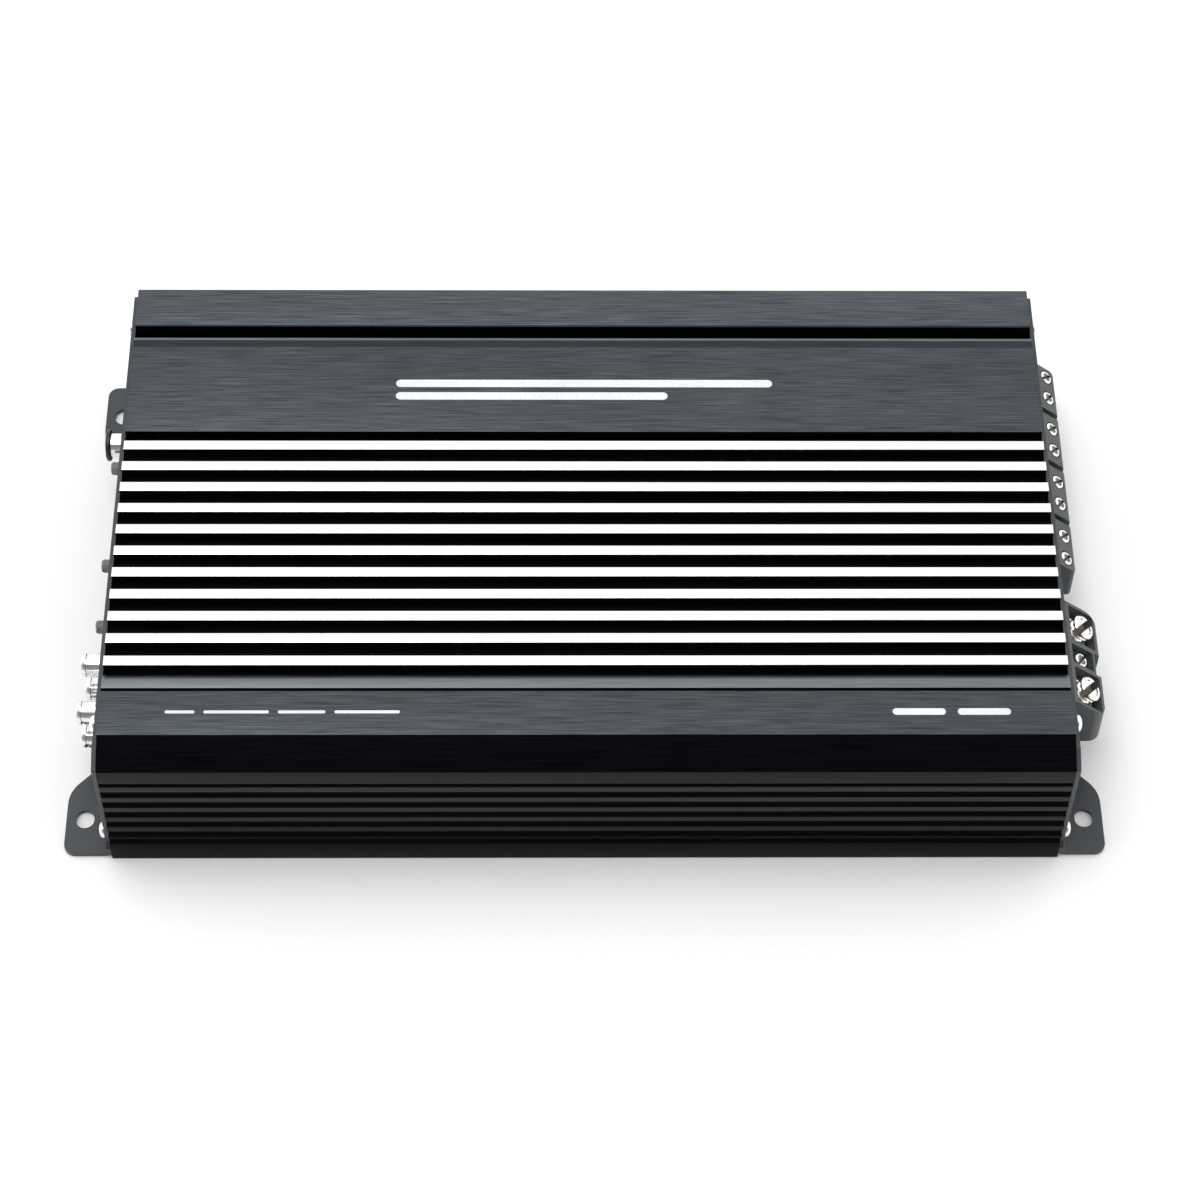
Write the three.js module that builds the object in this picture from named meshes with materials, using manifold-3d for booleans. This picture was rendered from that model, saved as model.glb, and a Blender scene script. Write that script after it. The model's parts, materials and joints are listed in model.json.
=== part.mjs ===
// Car amplifier: a ribbed aluminium extrusion closed by two eared steel end plates,
// with input jacks on the left end (-X) and screw terminals on the right end (+X).
// Millimetres. X runs along the extrusion, Y from the ribbed front to the back, Z up.
// The origin is the middle of the footprint, at the surface that the amplifier lies on.
import * as THREE from "three";
import { mergeVertices } from "three/addons/utils/BufferGeometryUtils.js";
import Module from "manifold-3d";

const wasm = await Module();
wasm.setup();

// ---------- driving dimensions ----------
const DEPTH = 209.1;
const HEIGHT = 59;
const HALF_LENGTH = 164.2; // half the extrusion
const FRONT_Y = -DEPTH / 2;
const BACK_Y = DEPTH / 2;

// Front wall: leans back from the foot to a flat bevel, then the top deck starts.
const FRONT_LEAN = 2.7;
const BEVEL_Z = 51.7;
const DECK_Y = FRONT_Y + 13.1; // near edge of the top deck
const RIBS = 6;
const RIB_PITCH = 5.8;
const RIB_FIRST_Z = 14.3;
const RIB_DEPTH = 1.1;

// Top deck, measured back from its near edge.
const NEAR_BAND = 18.2;
const BAND_GROOVE = 0.7;
const COVE_START = 22;
const COVE_END = 27.6;
const FINS = 11;
const FIN_FIRST = 30.1; // centre of the first fin
const FIN_PITCH = 9.26;
const FIN_WIDTH = 4;
const FIN_FLOOR_Z = 43;
const WIDE_BAND = [128.7, 170.4];
const WIDE_CHAMFER = 2.8;
const REAR_GROOVE = [174.6, 180];
const REAR_GROOVE_Z = 50;
const WALL = 3;
const CEILING_Z = 38.5; // underside of the fin plate
const REAR_CEILING_Z = 45; // underside of the metal below the rear groove
const DECK_THICKNESS = 4;

// End plates and ears.
const PLATE = 1.5;
const PLATE_IN = HALF_LENGTH + 0.3;
const PLATE_OUT = PLATE_IN + PLATE;
const PLATE_TOP_Z = 55.2;
const EAR_X = 181.2;
const EAR_FRONT = 103.4; // |Y| of the ear's outer edge
const EAR_INNER = 62.7; // |Y| where the ear's slope meets the plate
const EAR_SLOPE_END = 78.2; // |Y| where the slope meets the ear's end
const EAR_HOLE = { x: 174.7, y: 89.4, r: 3.2, stretch: 0.45 }; // a short slot along Y
const PLATE_SCREWS = [[-81, 49.5], [-98.2, 9], [93, 49.5], [97, 9]]; // Y, Z
const SCREW_R = 1.5;
const SCREW_HOLE_R = SCREW_R + 0.3;
const BOSS_R = 3.6;

// Board and bottom cover.
const COVER = 1.5;
const COVER_SCREWS = [[-120, -97.6], [-120, 97.6], [120, -97.6], [120, 97.6]];
const BOARD_Z = 12;
const BOARD = 1.6;
const BOARD_HALF = [158, 88];

// Input end.
const RCA_Y = [-66, -46.2];
const RCA_Z = [18.5, 33.5];
const RCA_JACKS = RCA_Y.flatMap((y) => RCA_Z.map((z) => [y, z]));
const RCA_R = 4.15;
const RCA_COLLAR_R = 4.9;
const RCA_TIP_X = 175.6;
const CONTROL_Y = [-24.9, 1.7, 45.8];
const CONTROL_Z = 26;
const CONTROL_R = 2.4;
const CONTROL_TIP_X = 173.2;
const SOCKET = { y: 56.6, z: 26, r: 4.4, ring: 5.4, tip: 175.8 };
const SWITCH_Y = [15.5, 30];
const LAMP_Y = 72;

// Output end.
const SLOPE = THREE.MathUtils.degToRad(40); // tilt of the terminal faces and screws
const BLOCK_IN = PLATE_OUT + 0.2;
const BLOCK_FLOOR_Z = 16.5;
const WINDOW_FLOOR_Z = 17.3;
const BLOCK_FOOT_X = 152; // inner end of the blocks, on the board
const SPEAKER = { y: [-4, 88], x: 176.2, lip: 13.6, pairs: 4, pairPitch: 24.5, pitch: 9.9 };
const SPEAKER_SCREW_X = 173;
const SPEAKER_CELL = { seatR: 3.4, seat: 1.7, boreR: 1.9, boreDepth: 9.5, screwDepth: 1.4 };
const SPEAKER_FOOT_Z = 34.1;
const WIRE_ENTRY = { half: 2.7, z: [20.4, 25.8] };
const POWER = { y: [-67, -24.6], x: 180.6, lip: 15.6 };
// One power cell of each size: screw place, pocket, bore for the screw, and cable tunnel.
const BIG_CELL = {
  x: 174.8, pocket: 4.6, inward: 6.4, outward: 6.1, bore: 4.9, boreDepth: 17.4, seat: 0,
  tunnel: { half: 4.8, z: [18.4, 27.4] }, screwDepth: 4.6, footR: 4.2, footDepth: 12.2,
};
const SMALL_CELL = {
  x: 174.4, pocket: 3.2, inward: 6.3, outward: 4.6, bore: 2.3, boreDepth: 14.8, seat: 6.5, seatR: 3.2,
  tunnel: { half: 2.8, z: [22.4, 28.2] }, screwDepth: 3, footR: 1.9, footDepth: 10.4,
};
const POWER_CELLS = [
  { name: "battery", y: -33, width: 14.4, size: BIG_CELL },
  { name: "remote", y: -46, width: 7.8, size: SMALL_CELL },
  { name: "ground", y: -58.9, width: 14.4, size: BIG_CELL },
];

const UP = new THREE.Vector3(0, 0, 1);
const OUTWARD = new THREE.Vector3(Math.sin(SLOPE), 0, Math.cos(SLOPE));

// ---------- solids ----------
const solidOf = (geometry) => {
  const bare = geometry.clone();
  bare.deleteAttribute("normal");
  bare.deleteAttribute("uv");
  const merged = mergeVertices(bare, 1e-4);
  return new wasm.Manifold(new wasm.Mesh({
    numProp: 3,
    vertProperties: merged.attributes.position.array,
    triVerts: new Uint32Array(merged.index.array),
  }));
};

const geometryOf = (solid) => {
  const mesh = solid.getMesh();
  const geometry = new THREE.BufferGeometry();
  geometry.setAttribute("position", new THREE.BufferAttribute(mesh.vertProperties, 3));
  geometry.setIndex(new THREE.BufferAttribute(mesh.triVerts, 1));
  geometry.computeVertexNormals();
  return geometry;
};

// Joins the first list of geometries, then cuts the second list out of it.
const carve = (bodies, cuts = []) => {
  let solid = bodies.map(solidOf).reduce((a, b) => a.add(b));
  for (const tool of cuts) solid = solid.subtract(solidOf(tool));
  return geometryOf(solid);
};

const box = (x, y, z) => {
  const geometry = new THREE.BoxGeometry(x[1] - x[0], y[1] - y[0], z[1] - z[0]);
  return geometry.translate((x[0] + x[1]) / 2, (y[0] + y[1]) / 2, (z[0] + z[1]) / 2);
};

const outline = (points) => new THREE.Shape(points.map(([a, b]) => new THREE.Vector2(a, b)));

const extrude = (shape, depth) =>
  new THREE.ExtrudeGeometry(shape, { depth, bevelEnabled: false, curveSegments: 5 });

// A Y-Z outline swept from x0 to x1.
const prismX = (points, x0, x1) =>
  extrude(outline(points), x1 - x0)
    .applyMatrix4(new THREE.Matrix4().set(0, 0, 1, x0, 1, 0, 0, 0, 0, 1, 0, 0, 0, 0, 0, 1));

// An X-Z outline swept from y0 to y1.
const prismY = (points, y0, y1) =>
  extrude(outline(points.map(([x, z]) => [x, -z])), y1 - y0)
    .applyMatrix4(new THREE.Matrix4().set(1, 0, 0, 0, 0, 0, 1, y0, 0, -1, 0, 0, 0, 0, 0, 1));

// A plan (X-Y) shape swept from z0 to z1.
const prismZ = (shape, z0, z1) => extrude(shape, z1 - z0).translate(0, 0, z0);

const rodX = (r, x0, x1, y, z, sides = 16) =>
  new THREE.CylinderGeometry(r, r, Math.abs(x1 - x0), sides)
    .rotateZ(Math.PI / 2)
    .translate((x0 + x1) / 2, y, z);

const rodZ = (r, z0, z1, x, y, sides = 16) =>
  new THREE.CylinderGeometry(r, r, z1 - z0, sides)
    .rotateX(Math.PI / 2)
    .translate(x, y, (z0 + z1) / 2);

// A turned solid about Z from [radius, height] points that start and end on the axis.
const turned = (profile, sides) =>
  new THREE.LatheGeometry(profile.map(([r, z]) => new THREE.Vector2(r, z)), sides)
    .rotateX(Math.PI / 2);

// A rod along the tilted terminal direction; s0 and s1 are distances from the point.
const tiltedRod = (r, s0, s1, [x, y, z], sides = 16) =>
  new THREE.CylinderGeometry(r, r, s1 - s0, sides)
    .rotateX(Math.PI / 2)
    .translate(0, 0, (s0 + s1) / 2)
    .rotateY(SLOPE)
    .translate(x, y, z);

// ---------- materials and nodes ----------
const finish = (color, roughness, metalness) => ({ color, roughness, metalness });
const FINISH = {
  brushed: finish(0x75797d, 0.38, 1),
  blackSteel: finish(0x2c3034, 0.5, 0.6),
  chrome: finish(0xe6e6e2, 0.12, 1),
  board: finish(0x1d4a2c, 0.6, 0),
  plastic: finish(0x3a3f42, 0.55, 0),
  blackPlastic: finish(0x0b0b0c, 0.45, 0),
  greyPlastic: finish(0x80817f, 0.5, 0),
  copper: finish(0x9a5a2c, 0.4, 0.8),
  can: finish(0x1a2238, 0.35, 0.2),
  lens: finish(0x4a7dbb, 0.1, 0),
};

const amplifier = new THREE.Group();
amplifier.name = "car_amplifier";

const addTo = (group, name, look, geometry) => {
  const mesh = new THREE.Mesh(geometry, new THREE.MeshStandardMaterial(look));
  mesh.name = name;
  group.add(mesh);
  return mesh;
};
const add = (name, look, geometry) => addTo(amplifier, name, look, geometry);

// ---------- extrusion ----------
const frontFaceY = (z) => FRONT_Y + (FRONT_LEAN * z) / BEVEL_Z;

// Front wall from the foot up: a plain band, then ribs with grooves between them.
const frontFace = () => {
  const points = [[FRONT_Y, 0]];
  for (let i = 0; i < RIBS; i += 1) {
    const z = RIB_FIRST_Z + i * RIB_PITCH;
    points.push([frontFaceY(z - 1.8), z - 1.8], [frontFaceY(z - 1.2) + RIB_DEPTH, z - 1.2]);
    points.push([frontFaceY(z + 1.2) + RIB_DEPTH, z + 1.2], [frontFaceY(z + 1.7), z + 1.7]);
  }
  points.push([frontFaceY(BEVEL_Z), BEVEL_Z]);
  return points;
};

// Top deck from its near edge to the back wall, cut by the fin channels and the rear groove.
const topDeck = () => {
  const at = (s, z) => [DECK_Y + s, z];
  const points = [at(0, HEIGHT), at(NEAR_BAND - BAND_GROOVE, HEIGHT)];
  points.push(at(NEAR_BAND, HEIGHT - 1), at(NEAR_BAND + BAND_GROOVE, HEIGHT));
  points.push(at(COVE_START, HEIGHT), at(COVE_START + 2.4, HEIGHT - 1.6));
  points.push(at(COVE_START + 4.2, HEIGHT - 4.4), at(COVE_END - 0.4, HEIGHT - 8.5));
  points.push(at(COVE_END - 0.4, FIN_FLOOR_Z));
  for (let i = 0; i < FINS; i += 1) {
    const s = FIN_FIRST + i * FIN_PITCH;
    const half = FIN_WIDTH / 2;
    points.push(at(s - half, FIN_FLOOR_Z), at(s - half, HEIGHT));
    points.push(at(s + half, HEIGHT), at(s + half, FIN_FLOOR_Z));
  }
  points.push(at(WIDE_BAND[0], FIN_FLOOR_Z), at(WIDE_BAND[0], HEIGHT));
  points.push(at(WIDE_BAND[1], HEIGHT), at(WIDE_BAND[1] + WIDE_CHAMFER, HEIGHT - WIDE_CHAMFER));
  points.push(at(REAR_GROOVE[0], HEIGHT - WIDE_CHAMFER), at(REAR_GROOVE[0], REAR_GROOVE_Z));
  points.push(at(REAR_GROOVE[1], REAR_GROOVE_Z), at(REAR_GROOVE[1], HEIGHT));
  points.push([BACK_Y - 1.6, HEIGHT], [BACK_Y - 0.5, HEIGHT - 0.5], [BACK_Y, HEIGHT - 1.6]);
  points.push([BACK_Y, 0]);
  return points;
};

// Inside, from the back foot round to the front foot: a ledge holds the bottom cover.
const shellInside = () => {
  const ledge = COVER + 0.2;
  const deckZ = HEIGHT - DECK_THICKNESS;
  const wideIn = [DECK_Y + WIDE_BAND[0] + 4, DECK_Y + WIDE_BAND[1] - 3];
  const cove = DECK_Y + COVE_START - 3;
  return [
    [BACK_Y - 1.2, 0], [BACK_Y - 1.2, ledge], [BACK_Y - WALL, ledge],
    [BACK_Y - WALL, REAR_CEILING_Z], [wideIn[1], REAR_CEILING_Z], [wideIn[1], deckZ],
    [wideIn[0], deckZ], [wideIn[0], CEILING_Z], [cove, CEILING_Z], [cove, deckZ],
    [DECK_Y + 2, deckZ], [frontFaceY(44) + WALL + 1, 44],
    [frontFaceY(ledge) + WALL + 1, ledge], [FRONT_Y + 1.3, ledge], [FRONT_Y + 1.3, 0],
  ];
};

// Joins an end plate screw's boss to the deck above it, or to the back wall beside it.
const screwBossWeb = (y, z) => {
  const x = [-HALF_LENGTH, HALF_LENGTH];
  const half = 1.5;
  if (z > BEVEL_Z / 2) return box(x, [y - half, y + half], [z, HEIGHT - 3]);
  return y < 0
    ? box(x, [frontFaceY(z) + WALL, y], [z - half, z + half])
    : box(x, [y, BACK_Y - 2], [z - half, z + half]);
};

const heatsinkShell = () => {
  const profile = [...frontFace(), ...topDeck(), ...shellInside()];
  const bodies = [prismX(profile, -HALF_LENGTH, HALF_LENGTH)];
  const cuts = [];
  for (const [y, z] of PLATE_SCREWS) {
    bodies.push(rodX(BOSS_R, -HALF_LENGTH, HALF_LENGTH, y, z, 12));
    bodies.push(screwBossWeb(y, z));
    cuts.push(rodX(SCREW_HOLE_R, -HALF_LENGTH - 1, HALF_LENGTH + 1, y, z, 8));
  }
  for (const [x, y] of COVER_SCREWS) {
    const depth = y < 0 ? [FRONT_Y + 2, y + 4] : [y - 4, BACK_Y - 2];
    bodies.push(box([x - 5, x + 5], depth, [COVER + 0.3, 7]));
    cuts.push(rodZ(SCREW_HOLE_R, -1, 6.2, x, y, 8));
  }
  return carve(bodies, cuts);
};

// ---------- end plates ----------
const earShape = (side, end) => {
  const shape = new THREE.Shape();
  const corner = 4;
  const round = 6;
  const root = PLATE_IN + 0.6; // inside the plate's thickness
  shape.moveTo(root, EAR_FRONT);
  shape.lineTo(EAR_X - corner, EAR_FRONT);
  shape.quadraticCurveTo(EAR_X, EAR_FRONT, EAR_X, EAR_FRONT - corner);
  shape.lineTo(EAR_X, EAR_SLOPE_END + round);
  shape.quadraticCurveTo(EAR_X, EAR_SLOPE_END + 1.6, EAR_X - 3, EAR_SLOPE_END - 2);
  shape.lineTo(PLATE_OUT + 2, EAR_INNER + 2);
  shape.lineTo(PLATE_OUT + 0.4, EAR_INNER - 1.5);
  shape.lineTo(root, EAR_INNER - 1.5);
  const points = shape.getPoints(4).map((p) => new THREE.Vector2(side * p.x, end * p.y));
  return new THREE.Shape(points);
};

const endPlate = (side, windows) => {
  const x = [side * PLATE_IN, side * PLATE_OUT].sort((a, b) => a - b);
  const inset = 0.4;
  const face = [
    [FRONT_Y + inset, inset], [frontFaceY(BEVEL_Z) + inset, BEVEL_Z - inset],
    [DECK_Y - 3, PLATE_TOP_Z], [BACK_Y - inset, PLATE_TOP_Z], [BACK_Y - inset, inset],
  ];
  const bodies = [prismX(face, x[0], x[1])];
  const cuts = [...windows];
  for (const end of [-1, 1]) {
    bodies.push(prismZ(earShape(side, end), 0, PLATE));
    for (const shift of [-EAR_HOLE.stretch, EAR_HOLE.stretch]) {
      const y = end * EAR_HOLE.y + shift;
      cuts.push(rodZ(EAR_HOLE.r, -1, PLATE + 1, side * EAR_HOLE.x, y, 12));
    }
  }
  for (const [y, z] of PLATE_SCREWS) cuts.push(rodX(SCREW_HOLE_R, x[0] - 1, x[1] + 1, y, z, 8));
  return carve(bodies, cuts);
};

const inputWindows = () => {
  const through = [-PLATE_OUT - 1, -PLATE_IN + 1];
  const cuts = [rodX(SOCKET.r + 0.4, ...through, SOCKET.y, SOCKET.z)];
  for (const [y, z] of RCA_JACKS) cuts.push(rodX(RCA_COLLAR_R + 0.3, ...through, y, z, 12));
  for (const y of CONTROL_Y) cuts.push(rodX(CONTROL_R + 0.6, ...through, y, CONTROL_Z, 16));
  for (const y of SWITCH_Y) cuts.push(box(through, [y - 4, y + 4], [CONTROL_Z - 2, CONTROL_Z + 2]));
  cuts.push(rodX(1.8, ...through, LAMP_Y, CONTROL_Z, 12));
  return cuts;
};

const outputWindows = () => {
  const through = [PLATE_IN - 1, PLATE_OUT + 1];
  return [
    box(through, [SPEAKER.y[0] + 0.8, SPEAKER.y[1] - 0.8], [WINDOW_FLOOR_Z, 34.4]),
    box(through, [POWER.y[0] + 0.8, POWER.y[1] - 0.8], [WINDOW_FLOOR_Z, CEILING_Z]),
  ];
};

// A pan-head screw along X: slotted head outside the plate, shank in the extrusion's boss.
const panHeadScrew = () => {
  const head = 2.3;
  const profile = [
    [0, -12], [SCREW_R, -12], [SCREW_R, 0], [3, 0], [2.8, 1.3], [1.8, head], [0, head],
  ];
  const slot = box([-4, 4], [-0.4, 0.4], [head - 1, head + 1]);
  return carve([turned(profile, 12)], [slot]);
};

const addPlateScrews = (side, word) => {
  const geometry = panHeadScrew();
  PLATE_SCREWS.forEach(([y, z], i) => {
    const screw = add(`end_plate_screw_${word}_${i + 1}`, FINISH.chrome, geometry);
    screw.rotation.set(0, (side * Math.PI) / 2, 0);
    screw.position.set(side * (PLATE_OUT + 0.1), y, z);
  });
};

// ---------- bottom cover and board ----------
const bottomCover = () => {
  const half = [HALF_LENGTH - 0.5, BACK_Y - 1.6];
  const sink = [[0, -1], [3.3, -1], [3.3, 0.3], [1.9, COVER + 0.2], [0, COVER + 0.2]];
  const cuts = COVER_SCREWS.map(([x, y]) => turned(sink, 8).translate(x, y, 0));
  return carve([box([-half[0], half[0]], [-half[1], half[1]], [0, COVER])], cuts);
};

const addCoverScrews = () => {
  const profile = [[0, 0.1], [2.7, 0.1], [1.5, 1.5], [SCREW_R, 6], [0, 6]];
  const geometry = carve([turned(profile, 8)], [box([-2, 2], [-0.4, 0.4], [-1, 0.7])]);
  COVER_SCREWS.forEach(([x, y], i) => {
    add(`bottom_cover_screw_${i + 1}`, FINISH.chrome, geometry).position.set(x, y, 0);
  });
};

const addBoard = () => {
  const top = BOARD_Z + BOARD;
  add("main_board", FINISH.board,
    box([-BOARD_HALF[0], BOARD_HALF[0]], [-BOARD_HALF[1], BOARD_HALF[1]], [BOARD_Z, top]));
  const ring = new THREE.Shape().absarc(0, 0, 21, 0, 2 * Math.PI);
  ring.holes.push(new THREE.Path().absarc(0, 0, 9, 0, 2 * Math.PI, true));
  const toroid = new THREE.ExtrudeGeometry(ring, { depth: 17, bevelEnabled: false, curveSegments: 12 });
  add("power_transformer", FINISH.copper, toroid).position.set(96, -40, top + 0.2);
  for (let i = 0; i < 2; i += 1)
    add(`storage_capacitor_${i + 1}`, FINISH.can, rodZ(9, top + 0.2, top + 32, 0, 0))
      .position.set(50 + 24 * i, 57, 0);
  add("output_choke", FINISH.copper, rodX(9, -40, -10, 40, top + 9.4, 12));
  add("board_fuse", FINISH.plastic, box([120, 139], [-14, -8], [top + 0.2, top + 16]));
  ["front", "back"].forEach((word, i) => {
    const y = i ? [72, 80] : [-86, -78];
    add(`transistor_clamp_${word}`, FINISH.blackSteel, box([-130, 130], y, [top + 0.2, top + 11]));
  });
};

// ---------- input end ----------
const addInputs = () => {
  const inner = -PLATE_IN + 0.3;
  const face = -PLATE_OUT - 0.6;
  const bodies = [box([-163.8, -148], [RCA_Y[0] - 9, RCA_Y[1] + 9], [BOARD_Z + BOARD + 0.2, 37.9])];
  const cuts = [];
  for (const [y, z] of RCA_JACKS) {
    bodies.push(rodX(RCA_COLLAR_R, face, -160, y, z, 12));
    cuts.push(rodX(RCA_R + 0.3, face - 1, -156, y, z, 12));
  }
  add("rca_jack_housing", FINISH.blackPlastic, carve(bodies, cuts));
  const bore = rodX(1.6, -RCA_TIP_X - 1, -162, 0, 0, 8);
  const shell = carve([rodX(RCA_R, -RCA_TIP_X, -156.3, 0, 0, 12)], [bore]);
  RCA_JACKS.forEach(([y, z], i) => add(`rca_jack_${i + 1}`, FINISH.chrome, shell).position.set(0, y, z));
  const names = ["level_control", "filter_control", "bass_control"];
  CONTROL_Y.forEach((y, i) => {
    const body = box([inner, -154], [y - 5, y + 5], [BOARD_Z + BOARD + 0.2, CONTROL_Z + 5]);
    const hole = rodX(CONTROL_R + 0.2, inner - 1, -158, y, CONTROL_Z, 16);
    add(`${names[i]}_body`, FINISH.plastic, carve([body], [hole]));
    const slot = box([-CONTROL_TIP_X - 1, -CONTROL_TIP_X + 1.2], [-0.5, 0.5], [-4, 4]);
    add(`${names[i]}_shaft`, FINISH.greyPlastic,
      carve([rodX(CONTROL_R, -CONTROL_TIP_X, -158.3, 0, 0, 16)], [slot]))
      .position.set(0, y, CONTROL_Z);
  });
  addSwitches(inner);
  addSocket(inner);
};

const addSwitches = (inner) => {
  SWITCH_Y.forEach((y, i) => {
    const z = [BOARD_Z + BOARD + 0.2, CONTROL_Z + 3];
    const track = box([inner - 1, -159], [y - 3.6, y + 3.6], [CONTROL_Z - 1.6, CONTROL_Z + 1.6]);
    add(`filter_switch_${i + 1}_body`, FINISH.blackPlastic,
      carve([box([inner, -155], [y - 5.5, y + 5.5], z)], [track]));
    const knob = carve([
      box([-168, -161.5], [-1.2, 1.2], [-1.3, 1.3]),
      box([-162, -160], [-1.5, 1.5], [-1.3, 1.3]),
    ]);
    add(`filter_switch_${i + 1}_slider`, FINISH.greyPlastic, knob)
      .position.set(0, y, CONTROL_Z);
  });
};

const addSocket = (inner) => {
  const { y, z, r, ring, tip } = SOCKET;
  const body = [
    box([inner, -150], [y - 5, y + 5], [BOARD_Z + BOARD + 0.2, z + 6]),
    rodX(r, -tip, inner + 2, y, z),
    rodX(ring + 0.9, -tip, -tip + 3, y, z),
  ];
  add("remote_level_socket", FINISH.blackPlastic, carve(body, [rodX(1.8, -tip - 1, -156, y, z, 12)]));
  const nutX = [-PLATE_OUT - 0.2, -PLATE_OUT - 3.4];
  add("socket_ring", FINISH.chrome,
    carve([rodX(ring, ...nutX, y, z, 24)], [rodX(r + 0.3, nutX[0] + 1, nutX[1] - 1, y, z)]));
  add("power_lamp", FINISH.lens,
    carve([rodX(1.5, -PLATE_OUT - 0.8, inner + 1, LAMP_Y, z, 12), rodX(2.4, inner, -158, LAMP_Y, z, 12)]));
};

// ---------- output end ----------
// A terminal block's outer part in X-Z: flat floor, upright lip, sloped top.
const blockFace = (x, lip, inset = 0) => {
  const lipZ = BLOCK_FLOOR_Z + lip - inset / Math.cos(SLOPE);
  const back = lipZ + (x - BLOCK_IN) * Math.tan(SLOPE);
  return [
    [BLOCK_IN, BLOCK_FLOOR_Z], [x - inset, BLOCK_FLOOR_Z],
    [x - inset, lipZ + inset * Math.tan(SLOPE)], [BLOCK_IN, back],
  ];
};

const slopeZ = (block, x) => BLOCK_FLOOR_Z + block.lip + (block.x - x) * Math.tan(SLOPE);

// The part of a block that passes the plate's window and stands on the board.
const blockFoot = (block, topZ) => {
  const y = [block.y[0] + 1.1, block.y[1] - 1.1];
  return [
    box([HALF_LENGTH - 1, BLOCK_IN + 1], y, [WINDOW_FLOOR_Z + 0.3, topZ]),
    box([BLOCK_FOOT_X, HALF_LENGTH - 0.3], y, [BOARD_Z + BOARD + 0.2, CEILING_Z - 0.6]),
  ];
};

const speakerScrewYs = () => {
  const middle = (SPEAKER.y[0] + SPEAKER.y[1]) / 2;
  const ys = [];
  for (let i = SPEAKER.pairs - 1; i >= 0; i -= 1) {
    const centre = middle + (i - (SPEAKER.pairs - 1) / 2) * SPEAKER.pairPitch;
    ys.push(centre + SPEAKER.pitch / 2, centre - SPEAKER.pitch / 2);
  }
  return ys;
};

// A slit round the block between two pairs of terminals, down to a smaller copy of its outline.
const pairGap = (y) => {
  const slab = [
    [BLOCK_IN - 1, BLOCK_FLOOR_Z - 1], [SPEAKER.x + 2, BLOCK_FLOOR_Z - 1],
    [SPEAKER.x + 2, 40], [BLOCK_IN - 1, 40],
  ];
  const kept = blockFace(SPEAKER.x, SPEAKER.lip, 1.8);
  kept[0] = [BLOCK_IN - 2, BLOCK_FLOOR_Z - 2];
  kept[1][1] = BLOCK_FLOOR_Z - 2;
  kept[3][0] = BLOCK_IN - 2;
  const outer = solidOf(prismY(slab, y - 1.2, y + 1.2));
  return geometryOf(outer.subtract(solidOf(prismY(kept, y - 2, y + 2))));
};

const speakerBlock = () => {
  const foot = blockFoot(SPEAKER, SPEAKER_FOOT_Z);
  const bodies = [prismY(blockFace(SPEAKER.x, SPEAKER.lip), ...SPEAKER.y), ...foot];
  const cuts = [];
  const middle = (SPEAKER.y[0] + SPEAKER.y[1]) / 2;
  for (let i = 1; i < SPEAKER.pairs; i += 1)
    cuts.push(pairGap(middle + (i - SPEAKER.pairs / 2) * SPEAKER.pairPitch));
  for (const y of speakerScrewYs()) {
    const top = [SPEAKER_SCREW_X, y, slopeZ(SPEAKER, SPEAKER_SCREW_X)];
    const acrossY = [y - WIRE_ENTRY.half, y + WIRE_ENTRY.half];
    cuts.push(tiltedRod(SPEAKER_CELL.seatR, -SPEAKER_CELL.seat, 3, top, 12));
    cuts.push(tiltedRod(SPEAKER_CELL.boreR, -SPEAKER_CELL.boreDepth, 0, top, 8));
    cuts.push(box([SPEAKER.x - 10, SPEAKER.x + 1], acrossY, WIRE_ENTRY.z));
  }
  return carve(bodies, cuts);
};

// A cheese-head terminal screw about its own Z, head bottom at zero.
const terminalScrew = (headR, head, shankR, shank) => {
  const profile = [
    [0, -shank], [shankR, -shank], [shankR, 0], [headR, 0], [headR, head], [0, head],
  ];
  const slot = box([-0.45, 0.45], [-headR - 1, headR + 1], [head - 0.9, head + 1]);
  return carve([turned(profile, 12)], [slot]);
};

const tilted = (name, look, geometry, [x, y, z], depth) => {
  const holder = new THREE.Group();
  holder.position.set(x, y, z).addScaledVector(OUTWARD, -depth);
  holder.quaternion.setFromUnitVectors(UP, OUTWARD);
  amplifier.add(holder);
  addTo(holder, name, look, geometry);
};

const addSpeakerTerminals = () => {
  add("speaker_terminal_block", FINISH.plastic, speakerBlock());
  const screw = terminalScrew(3, 1.8, SCREW_R, 6.4);
  speakerScrewYs().forEach((y, i) => {
    const seat = [SPEAKER_SCREW_X, y, slopeZ(SPEAKER, SPEAKER_SCREW_X)];
    tilted(`speaker_terminal_screw_${i + 1}`, FINISH.chrome, screw, seat, SPEAKER_CELL.screwDepth);
  });
};

// Pocket for one power cell, cut square to the slope, with a wire tunnel below it.
const powerCellCuts = ({ y, width, size }) => {
  const top = [size.x, y, slopeZ(POWER, size.x)];
  const pocket = new THREE.BoxGeometry(size.inward + size.outward, width, size.pocket + 8)
    .translate((size.outward - size.inward) / 2, 0, 4 - size.pocket / 2)
    .rotateY(SLOPE)
    .translate(...top);
  const acrossY = [y - size.tunnel.half, y + size.tunnel.half];
  const cuts = [
    pocket,
    tiltedRod(size.bore, -size.boreDepth, -size.pocket + 1, top, 16),
    box([POWER.x - 14, POWER.x + 1], acrossY, size.tunnel.z),
  ];
  if (size.seat) cuts.push(tiltedRod(size.seatR, -size.seat, -size.pocket + 1, top, 16));
  return cuts;
};

const powerBlock = () => {
  const bodies = [prismY(blockFace(POWER.x, POWER.lip), ...POWER.y), ...blockFoot(POWER, CEILING_Z - 0.3)];
  const small = POWER_CELLS[1];
  const recess = box([POWER.x - 2, POWER.x + 1], [small.y - 4.6, small.y + 4.4], [BLOCK_FLOOR_Z - 1, 50]);
  return carve(bodies, [...POWER_CELLS.flatMap(powerCellCuts), recess]);
};

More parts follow.
